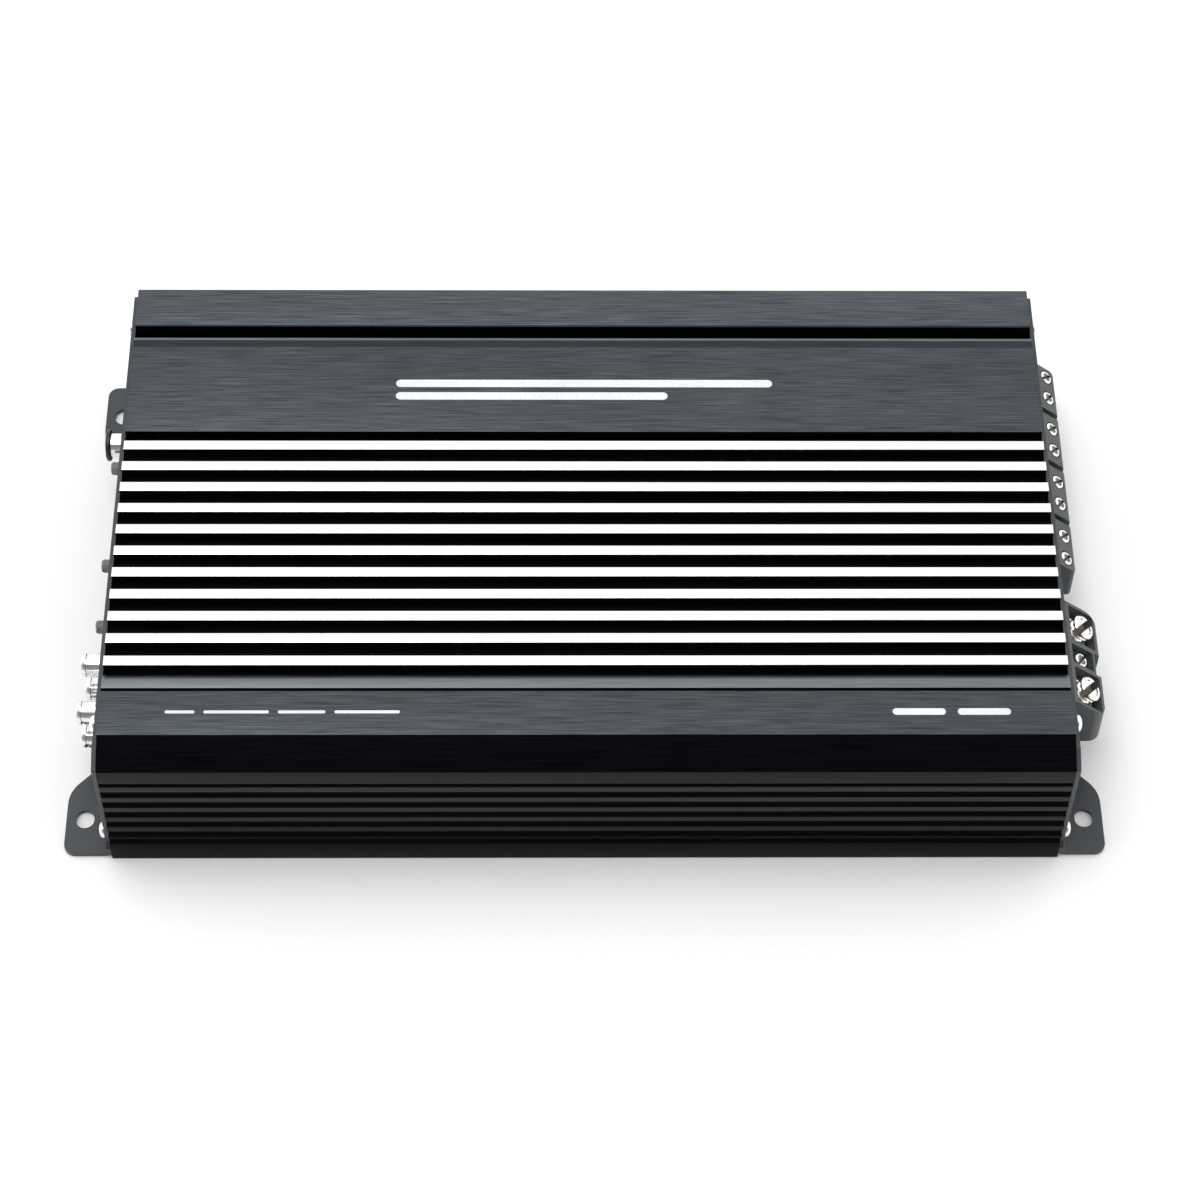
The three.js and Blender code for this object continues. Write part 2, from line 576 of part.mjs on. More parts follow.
// A large grub screw with its thread showing above the pocket floor and a slot in its head.
const powerScrew = () => {
  const profile = [[0, -6.2], [4.4, -6.2], [4.4, -0.6]];
  for (let z = 0.3; z < 3; z += 1.5) profile.push([3.9, z], [4.4, z + 0.7]);
  profile.push([4.6, 3.4], [4.6, 5.1], [0, 5.1]);
  return carve([turned(profile, 16)], [box([-0.7, 0.7], [-6, 6], [3.7, 6])]);
};

const addPowerTerminals = () => {
  add("power_terminal_block", FINISH.plastic, powerBlock());
  const bigScrew = powerScrew();
  const smallScrew = terminalScrew(2.8, 1.8, 1.9, 6);
  const foot = (r) => turned([[0, 0], [r - 0.5, 0], [r, 0.5], [r, 1.2], [0, 1.2]], 12);
  for (const { name, y, size } of POWER_CELLS) {
    const top = [size.x, y, slopeZ(POWER, size.x)];
    const screw = size === BIG_CELL ? bigScrew : smallScrew;
    tilted(`${name}_terminal_screw`, FINISH.chrome, screw, top, size.screwDepth);
    tilted(`${name}_pressure_foot`, FINISH.chrome, foot(size.footR), top, size.footDepth);
  }
};

// ---------- assembly ----------
add("heatsink_shell", FINISH.brushed, heatsinkShell());
add("end_plate_left", FINISH.blackSteel, endPlate(-1, inputWindows()));
add("end_plate_right", FINISH.blackSteel, endPlate(1, outputWindows()));
addPlateScrews(-1, "left");
addPlateScrews(1, "right");
add("bottom_cover", FINISH.blackSteel, bottomCover());
addCoverScrews();
addBoard();
addInputs();
addSpeakerTerminals();
addPowerTerminals();

export default amplifier;
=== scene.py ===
"""The looks of a car amplifier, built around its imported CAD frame.

Objects are in metres and in the frame's own axes: X runs along the extrusion from the inputs to the
outputs, Y from the ribbed front to the back, and Z up. Sizes here are millimetres, and a mesh
is scaled to metres when its piece is finished.
"""

import json
import math

import bmesh
import bpy
from mathutils import Matrix, Vector


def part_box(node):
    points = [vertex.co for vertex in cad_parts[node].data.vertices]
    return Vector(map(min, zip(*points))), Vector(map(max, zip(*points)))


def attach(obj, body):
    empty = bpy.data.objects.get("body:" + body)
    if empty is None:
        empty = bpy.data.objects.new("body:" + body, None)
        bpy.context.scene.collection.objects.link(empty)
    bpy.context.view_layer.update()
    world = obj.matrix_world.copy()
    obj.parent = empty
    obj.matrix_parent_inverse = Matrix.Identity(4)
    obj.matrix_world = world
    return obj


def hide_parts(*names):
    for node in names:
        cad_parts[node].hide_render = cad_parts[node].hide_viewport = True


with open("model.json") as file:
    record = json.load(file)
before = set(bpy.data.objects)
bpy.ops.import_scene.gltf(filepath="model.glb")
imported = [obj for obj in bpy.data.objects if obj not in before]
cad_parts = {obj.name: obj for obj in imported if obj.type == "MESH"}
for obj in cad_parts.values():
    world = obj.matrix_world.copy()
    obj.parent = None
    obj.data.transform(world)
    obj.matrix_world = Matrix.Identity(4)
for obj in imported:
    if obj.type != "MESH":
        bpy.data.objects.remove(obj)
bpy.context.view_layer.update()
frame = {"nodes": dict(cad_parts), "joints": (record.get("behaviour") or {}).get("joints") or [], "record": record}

MM = 0.001
CHASSIS = "chassis"
JOINTS = {joint["name"]: joint for joint in frame["joints"]}


def extent(node):
    """A CAD node's lowest and highest corner, in millimetres."""
    low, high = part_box(node)
    return low / MM, high / MM


def middle(node):
    """The middle of a CAD node's box."""
    low, high = extent(node)
    return (low + high) / 2


def terminal_seat(screw):
    """Where a terminal screw's axis meets the block's sloped face."""
    return Vector(JOINTS[f"{screw}_turn"]["pos_m"]) / MM


# ---------- sizes taken from the frame ----------
SHELL_LOW, SHELL_HIGH = extent("heatsink_shell")
FRONT_Y, BACK_Y = SHELL_LOW.y, SHELL_HIGH.y
END_X, TOP_Z = SHELL_HIGH.x, SHELL_HIGH.z
PLATE_LOW, PLATE_HIGH = extent("end_plate_right")
EAR_X, PLATE_IN = PLATE_HIGH.x, PLATE_LOW.x
PLATE = 1.5  # thickness of the end plates' sheet
PLATE_OUT = PLATE_IN + PLATE
BLOCK_X = PLATE_OUT + 0.2
SLOPE = math.radians(40)
SLOPE_NORMAL = Vector((math.sin(SLOPE), 0, math.cos(SLOPE)))

# ---------- extrusion profile ----------
FRONT_LEAN = 2.7
BEVEL_Z = 51.7
DECK_Y = FRONT_Y + 13.1
RIB_GROOVE = 3.4
RIB_GROOVES = [(z, z + RIB_GROOVE) for z in (9.0, 13.4, 19.4, 25.2, 31.0, 36.9)] + [(43.1, 45.1)]
RIB_DEPTH = 1.1
NEAR_BAND = 18.2
COVE_START = 22.0
COVE_END = 27.2
FIN_FLOOR_Z = 43.0
FINS = 11
FIN_FIRST, FIN_PITCH, FIN_WIDTH = 30.1, 9.26, 4.0
WIDE_BAND = (128.7, 167.8)
WIDE_CHAMFER = (3.9, 0.8)  # run and drop of the slope behind the wide band
REAR_GROOVE = (172.9, 178.0)
REAR_GROOVE_Z = 50.0
CEILING_Z = 38.5

# ---------- end plates and ears ----------
PLATE_TOP_Z = 55.2
EAR_FRONT, EAR_INNER, EAR_SLOPE_END = 103.4, 62.7, 78.2
EAR_HOLE_X, EAR_HOLE_Y, EAR_HOLE_R, EAR_HOLE_STRETCH = 174.7, 89.4, 3.2, 0.45
BEND = 1.5
BEND_STEPS = 5


# ---------- node trees ----------
def add_node(tree, kind, inputs=None, **settings):
    """A shader node with its settings, and its inputs set to values or linked."""
    made = tree.nodes.new(kind)
    for key, value in settings.items():
        setattr(made, key, value)
    for socket, value in (inputs or {}).items():
        if isinstance(value, bpy.types.NodeSocket):
            tree.links.new(value, made.inputs[socket])
        else:
            made.inputs[socket].default_value = value
    return made


def object_point(tree):
    """The surface point in the object's own coordinates."""
    return add_node(tree, "ShaderNodeTexCoord").outputs["Object"]


def noise(tree, scale, detail=3.0, offset=0.0, roughness=0.5):
    """Noise in object coordinates; scale is cycles per metre along X, Y and Z."""
    spread = add_node(tree, "ShaderNodeMapping", {
        "Vector": object_point(tree), "Scale": scale, "Location": (offset, offset, offset)})
    return add_node(tree, "ShaderNodeTexNoise", {
        "Vector": spread.outputs[0], "Scale": 1.0, "Detail": detail, "Roughness": roughness,
    }).outputs["Fac"]


def ramp(tree, factor, stops):
    """A colour ramp; each stop is (position, grey level or colour)."""
    made = add_node(tree, "ShaderNodeValToRGB", {"Fac": factor})
    elements = made.color_ramp.elements
    while len(elements) < len(stops):
        elements.new(0.5)
    for element, (position, colour) in zip(elements, stops):
        element.position = position
        rgb = colour if isinstance(colour, (tuple, list)) else (colour,) * 3
        element.color = (*rgb, 1.0)
    return made.outputs["Color"]


def coordinate(tree, axis, low, high):
    """How far along one axis a point is from low to high (mm), as 0 to 1."""
    parts = add_node(tree, "ShaderNodeSeparateXYZ", {"Vector": object_point(tree)})
    return add_node(tree, "ShaderNodeMapRange", {
        "Value": parts.outputs[axis], "From Min": low * MM, "From Max": high * MM}).outputs["Result"]


def multiply(tree, a, b):
    made = add_node(tree, "ShaderNodeMix", data_type="RGBA", blend_type="MULTIPLY")
    made.inputs["Factor"].default_value = 1.0
    for socket, colour in (("A", a), ("B", b)):
        target = [s for s in made.inputs if s.name == socket and s.type == "RGBA"][0]
        tree.links.new(colour, target)
    return [s for s in made.outputs if s.type == "RGBA"][0]


def level(tree, factor, low, high):
    """A number from low to high, as noise runs over most of its range."""
    return add_node(tree, "ShaderNodeMapRange", {
        "Value": factor, "From Min": 0.3, "From Max": 0.7, "To Min": low, "To Max": high,
    }).outputs["Result"]


class Look:
    """A Principled material with patterns in its colour, roughness and relief."""

    def __init__(self, name, metallic=0.0, **sockets):
        self.made = bpy.data.materials.new(name)
        self.made.use_nodes = True
        self.tree = self.made.node_tree
        self.shader = self.tree.nodes["Principled BSDF"]
        self.shader.inputs["Metallic"].default_value = metallic
        for socket, value in sockets.items():
            self.shader.inputs[socket.replace("_", " ")].default_value = value

    def colour(self, value):
        self.tree.links.new(value, self.shader.inputs["Base Color"])
        return self

    def rough(self, factor, low, high):
        self.tree.links.new(level(self.tree, factor, low, high), self.shader.inputs["Roughness"])
        return self

    def bump(self, height, strength, depth):
        """depth is the height of the relief in millimetres."""
        made = add_node(self.tree, "ShaderNodeBump", {
            "Height": height, "Strength": strength, "Distance": depth * MM})
        self.tree.links.new(made.outputs["Normal"], self.shader.inputs["Normal"])
        return self


def shades(tree, factor, dark, light):
    """A colour from dark to light, as noise runs over the middle of its range."""
    return ramp(tree, factor, [(0.32, dark), (0.68, light)])


# ---------- materials ----------
# Cycles per metre along X, Y and Z of the brushed patterns.
STREAK = (50.0, 1900.0, 1900.0)
FINE_STREAK = (110.0, 4600.0, 4600.0)
BLOTCH = (9.0, 60.0, 60.0)


def brushed(name, dark, light, rough=(0.26, 0.42), metallic=1.0, painted_shading=None, relief=0.25, **sockets):
    """Metal brushed along X; the optional (axis, low, high, stops) ramp paints light and shade along one axis."""
    look = Look(name, metallic, **sockets)
    tree = look.tree
    streaks = noise(tree, STREAK, 4.0, roughness=0.65)
    colour = shades(tree, streaks, dark, light)
    patches = ramp(tree, noise(tree, BLOTCH, 2.0, 3.1), [(0.3, 0.86), (0.7, 1.0)])
    colour = multiply(tree, colour, patches)
    # Painted light and shade: the colour is multiplied by a ramp along one axis.
    if painted_shading:
        axis, low, high, stops = painted_shading
        colour = multiply(tree, colour, ramp(tree, coordinate(tree, axis, low, high), stops))
    fine = noise(tree, FINE_STREAK, 2.0, 7.7)
    return look.colour(colour).rough(streaks, *rough).bump(fine, relief, 0.02).made


def painted(name, dark, light, rough=(0.38, 0.52), grain=2400.0, relief=0.2, **sockets):
    """Powder coat or fine-grained moulded plastic."""
    look = Look(name, **sockets)
    tree = look.tree
    patches = noise(tree, (40.0,) * 3, 3.0)
    pebbles = noise(tree, (grain,) * 3, 2.0, 1.7)
    colour = multiply(tree, shades(tree, patches, dark, light),
                      ramp(tree, pebbles, [(0.35, 0.82), (0.65, 1.0)]))
    return look.colour(colour).rough(pebbles, *rough).bump(pebbles, relief, 0.03).made


def plated(name, dark, light, rough=(0.07, 0.2)):
    """Bright plated metal with faint turning and handling marks."""
    look = Look(name, 1.0)
    tree = look.tree
    marks = noise(tree, (900.0,) * 3, 3.0)
    smears = noise(tree, (160.0,) * 3, 2.0, 5.0)
    colour = multiply(tree, shades(tree, marks, dark, light),
                      ramp(tree, smears, [(0.3, 0.9), (0.7, 1.0)]))
    return look.colour(colour).rough(smears, *rough).bump(marks, 0.12, 0.01).made


def wound(name, dark, light):
    """Enamelled wire in close turns."""
    look = Look(name, 0.9)
    tree = look.tree
    turns = add_node(tree, "ShaderNodeTexWave", {
        "Vector": object_point(tree), "Scale": 700.0, "Distortion": 1.5, "Detail": 1.0}).outputs["Fac"]
    colour = ramp(tree, turns, [(0.1, dark), (0.8, light)])
    return look.colour(colour).rough(turns, 0.5, 0.25).bump(turns, 0.8, 0.3).made


def resist(name):
    """Green solder resist with lighter tracks."""
    look = Look(name)
    tree = look.tree
    tracks = add_node(tree, "ShaderNodeTexBrick", {
        "Vector": object_point(tree), "Scale": 120.0, "Mortar Size": 0.02,
        "Color1": (0.012, 0.1, 0.035, 1), "Color2": (0.01, 0.075, 0.028, 1),
        "Mortar": (0.05, 0.22, 0.08, 1)})
    grain = noise(tree, (500.0,) * 3)
    return look.colour(tracks.outputs["Color"]).rough(grain, 0.3, 0.5).bump(
        tracks.outputs["Fac"], 0.3, 0.05).made


def deck(distance):
    """Y of a point on the deck, from its distance behind the near edge."""
    return DECK_Y + distance


LOOKS = {
    "brushed": brushed("brushed_gunmetal", (0.036, 0.043, 0.051), (0.092, 0.102, 0.115)),
    # The far strip: a lighter copy of the brushed gunmetal, as painted light.
    "far": brushed("far_strip_painted_light", (0.044, 0.051, 0.06), (0.116, 0.127, 0.141)),
    "tip": brushed("polished_fin_tip", (0.9, 0.9, 0.9), (0.97, 0.97, 0.97), (0.1, 0.2), relief=0.08),
    # Thin edges beside the rear groove, lighter than the gunmetal: a painted highlight.
    "edge": brushed("edge_painted_highlight", (0.11, 0.12, 0.13), (0.17, 0.18, 0.19), (0.2, 0.3)),
    # Black channel walls with painted shading by height: darkest at the fins' tops, lighter toward the channel
    # floor.
    "channel": brushed("black_channel_painted_shading", (0.03, 0.034, 0.04), (0.07, 0.076, 0.085), (0.4, 0.55), 0.0,
                       ("Z", FIN_FLOOR_Z, TOP_Z, [(0.0, 0.8), (0.45, 0.6), (0.75, 0.05), (1.0, 0.02)]),
                       Specular_IOR_Level=0.05),
    # Near-black grooves: painted shade in the recesses.
    "groove": brushed("groove_painted_shade", (0.001, 0.001, 0.0012), (0.004, 0.004, 0.005), (0.5, 0.7), 0.0,
                      Specular_IOR_Level=0.04),
    # The cove: a lighter copy of the gunmetal as painted sheen, darkened toward the channel as painted shade in
    # the recess.
    "cove": brushed("cove_painted_sheen_and_shade", (0.14, 0.156, 0.164), (0.186, 0.203, 0.213), (0.3, 0.42), 1.0,
                    ("Y", deck(NEAR_BAND), deck(COVE_END),
                     [(0.0, 0.95), (0.6, 1.0), (0.82, 0.5), (0.92, 0.04), (1.0, 0.02)])),
    # The slope behind the wide band: a darker copy of the gunmetal, as painted shade.
    "chamfer": brushed("rear_chamfer_painted_shade", (0.018, 0.024, 0.031), (0.036, 0.045, 0.056), (0.2, 0.35)),
    # The bevel above the ribs: near-black as a painted dark reflection.
    "bevel": brushed("bevel_painted_dark_reflection", (0.0004, 0.0004, 0.001), (0.0032, 0.003, 0.0048), (0.4, 0.55), 0.0,
                     Specular_IOR_Level=0.03),
    # The ribbed front, with painted shade by height: very dark up to about a third of the way up, lighter above,
    # darker again under the bevel.
    "ribs": brushed("front_ribs_painted_shade", (0.042, 0.047, 0.049), (0.052, 0.058, 0.061), (0.4, 0.55), 1.0,
                    ("Z", 0.0, BEVEL_Z, [(0.0, 0.06), (0.18, 0.08), (0.2, 0.03), (0.3, 0.03),
                                         (0.34, 0.36), (0.6, 0.68), (0.8, 0.76), (0.86, 0.38)]),
                    Specular_IOR_Level=0.2),
    "mill": brushed("mill_aluminium", (0.5, 0.5, 0.51), (0.65, 0.65, 0.66), (0.3, 0.5)),
    "steel": painted("slate_powder_coat", (0.024, 0.03, 0.036), (0.038, 0.046, 0.054), (0.32, 0.45)),
    "cover": painted("black_powder_coat", (0.008, 0.008, 0.009), (0.016, 0.016, 0.017), (0.5, 0.65)),
    "plastic": painted("terminal_moulding", (0.052, 0.06, 0.064), (0.075, 0.084, 0.088), (0.42, 0.55),
                       3200.0),
    "black": painted("black_moulding", (0.004, 0.004, 0.005), (0.009, 0.009, 0.01), (0.3, 0.42)),
    "grey": painted("grey_moulding", (0.16, 0.16, 0.155), (0.22, 0.22, 0.215), (0.4, 0.5)),
    "chrome": plated("bright_nickel", (0.82, 0.82, 0.81), (0.93, 0.93, 0.92)),
    "screw": plated("terminal_nickel", (0.8, 0.78, 0.74), (0.94, 0.93, 0.9)),
    "slot": plated("slot_shadow", (0.06, 0.052, 0.036), (0.13, 0.11, 0.08), (0.3, 0.45)),
    # Nickel in the screw heads' dish, darker than the rim: painted shade in the recess.
    "dish": plated("dish_painted_shade", (0.16, 0.16, 0.15), (0.3, 0.3, 0.29), (0.25, 0.4)),
    "nylon": painted("jack_insulator", (0.5, 0.49, 0.45), (0.62, 0.61, 0.57), (0.35, 0.45)),
    "lens": painted("lamp_lens", (0.1, 0.25, 0.55), (0.2, 0.4, 0.75), (0.05, 0.1), 600.0,
                    Transmission_Weight=0.6),
    "ink": painted("pale_ink", (0.72, 0.73, 0.74), (0.82, 0.83, 0.84), (0.4, 0.5)),
    "board": resist("green_resist"),
    "copper": wound("enamelled_copper", (0.09, 0.03, 0.012), (0.5, 0.2, 0.08)),
    "sleeve": painted("capacitor_sleeve", (0.008, 0.012, 0.035), (0.014, 0.02, 0.05), (0.2, 0.3)),
}

# Looks of the CAD nodes that stay, by the record's material slots.
SLOT_LOOKS = {
    "bottom_cover": "cover", "screw_steel": "chrome", "board": "board", "component_plastic": "black",
    "copper_windings": "copper", "capacitor_sleeve": "sleeve", "clamp_bars": "mill",
}


# ---------- meshes, in millimetres ----------
def add_object(name, data):
    made = bpy.data.objects.new(name, data)
    bpy.context.scene.collection.objects.link(made)
    return made


def to_object(bm, name="shape"):
    """A new object from a finished bmesh, with its faces turned outward."""
    bmesh.ops.recalc_face_normals(bm, faces=bm.faces)
    mesh = bpy.data.meshes.new(name)
    bm.to_mesh(mesh)
    bm.free()
    return add_object(name, mesh)


NEARLY_STRAIGHT = math.radians(88)


def rounded(corners, steps=4):
    """A closed outline from (a, b, radius, finish) corners, each radius as an arc.

    Radius and finish may be left out. Returns (a, b, finish) points; a finish belongs to the edge
    that starts at its point.
    """
    corners = [(*c, 0.0, None)[:4] if len(c) == 2 else (*c, None)[:4] for c in corners]
    points = []
    for i, (a, b, radius, finish) in enumerate(corners):
        here = Vector((a, b))
        to_last = (Vector(corners[i - 1][:2]) - here).normalized()
        to_next = (Vector(corners[(i + 1) % len(corners)][:2]) - here).normalized()
        half = to_last.angle(to_next) / 2
        if radius == 0 or half > NEARLY_STRAIGHT:
            points.append((a, b, finish))
            continue
        reach = radius / math.tan(half)
        centre = here + (to_last + to_next).normalized() * radius / math.sin(half)
        start = here + to_last * reach - centre
        end = here + to_next * reach - centre
        for k in range(steps + 1):
            point = centre + start.slerp(end, k / steps) * radius
            points.append((point.x, point.y, corners[i - 1][3] if 2 * k < steps else finish))
    return points


def rectangle(low, high, radius=0.0):
    """Corners of an upright rectangle between two (a, b) points."""
    return [(low[0], low[1], radius), (high[0], low[1], radius),
            (high[0], high[1], radius), (low[0], high[1], radius)]


# A point of an outline at a depth along each axis.
AXIS_POINTS = {
    "X": lambda a, b, depth: (depth, a, b),
    "Y": lambda a, b, depth: (a, depth, b),
    "Z": lambda a, b, depth: (a, b, depth),
}


def prism(corners, low, high, axis, finishes=(), steps=4):
    """An outline swept along an axis; finishes are names in material order."""
    points = rounded(corners, steps)
    place = AXIS_POINTS[axis]
    bm = bmesh.new()
    rows = [[bm.verts.new(place(a, b, depth)) for a, b, _ in points] for depth in (low, high)]
    for i, (_, _, finish) in enumerate(points):
        j = (i + 1) % len(points)
        face = bm.faces.new((rows[0][i], rows[0][j], rows[1][j], rows[1][i]))
        if finish in finishes:
            face.material_index = finishes.index(finish)
    bm.faces.new(reversed(rows[0]))
    bm.faces.new(rows[1])
    return to_object(bm)


def box(low, high, radius=0.0, axis="X"):
    """A box whose edges along one axis are rounded."""
    a, b, along = {"X": (1, 2, 0), "Y": (0, 2, 1), "Z": (0, 1, 2)}[axis]
    corners = rectangle((low[a], low[b]), (high[a], high[b]), radius)
    return prism(corners, low[along], high[along], axis)


def circle_row(bm, radius, height, sides, wave=None):
    """Vertices round Z; wave(angle, height, radius) gives each one its own radius."""
    row = []
    for k in range(sides):
        angle = 2 * math.pi * k / sides
        r = wave(angle, height, radius) if wave else radius
        row.append(bm.verts.new((r * math.cos(angle), r * math.sin(angle), height)))
    return row


def turned(profile, sides=48, finishes=(), wave=None, closed=False):
    """A solid of revolution about Z from (radius, height, finish) rows.

    The rows start and end on the axis, or go round a closed section.
    """
    bm = bmesh.new()
    rows = []
    for radius, height, *_ in profile:
        if radius == 0:
            rows.append([bm.verts.new((0, 0, height))])
        else:
            rows.append(circle_row(bm, radius, height, sides, wave))
    following = rows[1:] + (rows[:1] if closed else [])
    for lower, upper, (_, _, *finish) in zip(rows, following, profile):
        for k in range(sides):
            j = (k + 1) % sides
            corners = (lower[k % len(lower)], lower[j % len(lower)],
                       upper[j % len(upper)], upper[k % len(upper)])
            face = bm.faces.new(list(dict.fromkeys(corners)))
            if finish and finish[0] in finishes:
                face.material_index = finishes.index(finish[0])
    return to_object(bm)


def rod(radius, length, place, sides=32):
    """A plain cylinder along a placement's own Z, as a cutting tool."""
    made = turned([(0, 0), (radius, 0), (radius, length), (0, length)], sides)
    made.data.transform(place)
    return made


def out_of_plate(x, seat, side=-1):
    """Local Z turned out of an end plate, at an X and a (Y, Z) seat; side is -1 at the inputs."""
    return Matrix.Translation((x, seat.y, seat.z)) @ Matrix.Rotation(side * math.pi / 2, 4, "Y")


def tilted(point, depth=0.0, turn=0.0):
    """Local Z turned out of the sloped face, a depth below a point on it."""
    return (Matrix.Translation(Vector(point) - SLOPE_NORMAL * depth)
            @ Matrix.Rotation(SLOPE, 4, "Y") @ Matrix.Rotation(turn, 4, "Z"))


def apply_modifiers(piece):
    """Makes the modifiers' result the piece's own mesh."""
    graph = bpy.context.evaluated_depsgraph_get()
    made = bpy.data.meshes.new_from_object(piece.evaluated_get(graph))
    piece.modifiers.clear()
    piece.data = made


def combine(base, operation, *tools, materials="INDEX"):
    """A boolean of each tool on the base, which uses the tools up."""
    for tool in tools:
        step = base.modifiers.new("step", "BOOLEAN")
        step.operation = operation
        step.solver = "EXACT"
        step.material_mode = materials
        step.object = tool
    apply_modifiers(base)
    for tool in tools:
        bpy.data.objects.remove(tool)
    return base


def soften(piece, width, angle=40):
    """Rounds edges sharper than an angle in degrees."""
    step = piece.modifiers.new("edges", "BEVEL")
    step.width = width
    step.segments = 2
    step.limit_method = "ANGLE"
    step.angle_limit = math.radians(angle)
    step.harden_normals = False
    apply_modifiers(piece)
    return piece


def dress(piece, looks, smooth=32):
    """Scales a mesh to metres, gives it its looks and smooths it below an angle in degrees."""
    piece.data.transform(Matrix.Scale(MM, 4))
    for look in looks:
        piece.data.materials.append(LOOKS[look])
    piece.data.shade_smooth()
    piece.data.set_sharp_from_angle(angle=math.radians(smooth))


def finish_piece(piece, name, looks, body, nodes=(), smooth=32):
    """Names and dresses a piece and ties it to the frame."""
    piece.name = piece.data.name = name
    dress(piece, looks, smooth)
    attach(piece, body)
    if nodes:
        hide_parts(*nodes)


def even_shading(piece):
    """Keeps the shading of large flat faces flat."""
    step = piece.modifiers.new("normals", "WEIGHTED_NORMAL")
    step.keep_sharp = True


def metres(place):
    """A placement in millimetres, with its position in metres."""
    scaled = place.copy()
    scaled.translation = place.translation * MM
    return scaled


def repeat(source, looks, entries):
    """Pieces that share one mesh; entries are (name, placement, body, replaced nodes)."""
    dress(source, looks)
    for name, place, body, nodes in entries:
        made = add_object(name, source.data)
        made.matrix_world = metres(place)
        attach(made, body)
        if nodes:
            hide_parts(*nodes)
    bpy.data.objects.remove(source)


# ---------- heatsink ----------
def front_y(z):
    """Y of the leaning ribbed front at a height."""
    return FRONT_Y + FRONT_LEAN * z / BEVEL_Z


def front_corners():
    """Ribbed front, from foot to bevel; each groove, painted near-black as shade, has sloping flanks."""
    corners = [(FRONT_Y, 0, 0.4, "ribs")]
    for low, high in RIB_GROOVES:
        corners += [
            (front_y(low), low, 0.15, "groove"), (front_y(low) + RIB_DEPTH, low + 0.5, 0.15, "groove"),
            (front_y(high) + RIB_DEPTH, high - 0.4, 0.15, "groove"), (front_y(high), high, 0.15, "ribs"),
        ]
    return corners + [(front_y(BEVEL_Z), BEVEL_Z, 0.25, "bevel")]


def deck_corners():
    """Top deck, from the near band over the fins to the far strip, then the back."""
    at = lambda distance, z, radius, finish: (deck(distance), z, radius, finish)
    corners = [
        at(0, TOP_Z, 0.3, "brushed"), at(NEAR_BAND - 0.7, TOP_Z, 0.15, "groove"),
        at(NEAR_BAND, TOP_Z - 1.0, 0.1, "groove"), at(NEAR_BAND + 0.6, TOP_Z, 0.15, "cove"),
        at(COVE_START, TOP_Z, 4.0, "cove"), at(COVE_START + 3.6, TOP_Z - 1.9, 3.0, "cove"),
        at(COVE_END, TOP_Z - 7.0, 2.0, "channel"), at(COVE_END, FIN_FLOOR_Z, 0.6, "channel"),
    ]
    half = FIN_WIDTH / 2
    for i in range(FINS):
        fin = FIN_FIRST + i * FIN_PITCH
        corners += [
            at(fin - half, FIN_FLOOR_Z, 0.6, "channel"), at(fin - half, TOP_Z, 0.25, "tip"),
            at(fin + half, TOP_Z, 0.25, "channel"), at(fin + half, FIN_FLOOR_Z, 0.6, "channel"),
        ]
    near, far = WIDE_BAND
    run, drop = WIDE_CHAMFER
    groove_near, groove_far = REAR_GROOVE
    corners += [
        at(near, FIN_FLOOR_Z, 0.6, "channel"), at(near, TOP_Z, 0.3, "brushed"),
        at(far, TOP_Z, 0.35, "chamfer"), at(far + run, TOP_Z - drop, 0.15, "edge"),
        at(groove_near, TOP_Z - drop, 0.25, "groove"), at(groove_near, REAR_GROOVE_Z, 0.4, "groove"),
        at(groove_far, REAR_GROOVE_Z, 0.4, "groove"), at(groove_far, TOP_Z - 0.5, 0.0, "edge"),
        at(groove_far + 0.5, TOP_Z, 0.15, "far"),
        (BACK_Y, TOP_Z, 1.6, "brushed"), (BACK_Y, 0, 0.4, "mill"),
    ]
    return corners


def inside_corners():
    """Inner walls, from the back foot round to the front foot."""
    ledge, wall, front_wall = 1.7, 3.0, 4.0
    deck_z, front_z, groove_z = TOP_Z - 4, 44, 45
    back_foot, front_foot = BACK_Y - 1.2, FRONT_Y + 1.3
    hollow_near, hollow_far = deck(WIDE_BAND[0] + 4), deck(WIDE_BAND[1] - 3)
    cove = deck(COVE_START - 3)
    points = [
        (back_foot, 0), (back_foot, ledge), (BACK_Y - wall, ledge), (BACK_Y - wall, groove_z),
        (hollow_far, groove_z), (hollow_far, deck_z), (hollow_near, deck_z), (hollow_near, CEILING_Z),
        (cove, CEILING_Z), (cove, deck_z), (DECK_Y + 2, deck_z), (front_y(front_z) + front_wall, front_z),
        (front_y(ledge) + front_wall, ledge), (front_foot, ledge), (front_foot, 0),
    ]
    return [(y, z, 0.3, "mill") for y, z in points]


SHELL_FINISHES = [
    "brushed", "far", "tip", "edge", "channel", "groove", "cove", "chamfer", "bevel", "ribs", "mill"]


def make_heatsink():
    """The extrusion, as one section swept along X."""
    section = front_corners() + deck_corners() + inside_corners()
    shell = prism(section, -END_X, END_X, "X", SHELL_FINISHES)
    finish_piece(shell, "heatsink_extrusion", SHELL_FINISHES, CHASSIS, ["heatsink_shell"])


INK_FOOT, INK_TOP = TOP_Z + 0.01, TOP_Z + 0.05


def print_bar(start_x, end_x, middle_y, width):
    """A thin round-ended printed bar on the deck, closed all round."""
    corners = rectangle((start_x, middle_y - width / 2), (end_x, middle_y + width / 2), width * 0.48)
    return prism(corners, INK_FOOT, INK_TOP, "Z")


def join(pieces):
    """One object from several separate closed meshes."""
    bm = bmesh.new()
    for piece in pieces:
        bm.from_mesh(piece.data)
        bpy.data.objects.remove(piece)
    return to_object(bm)


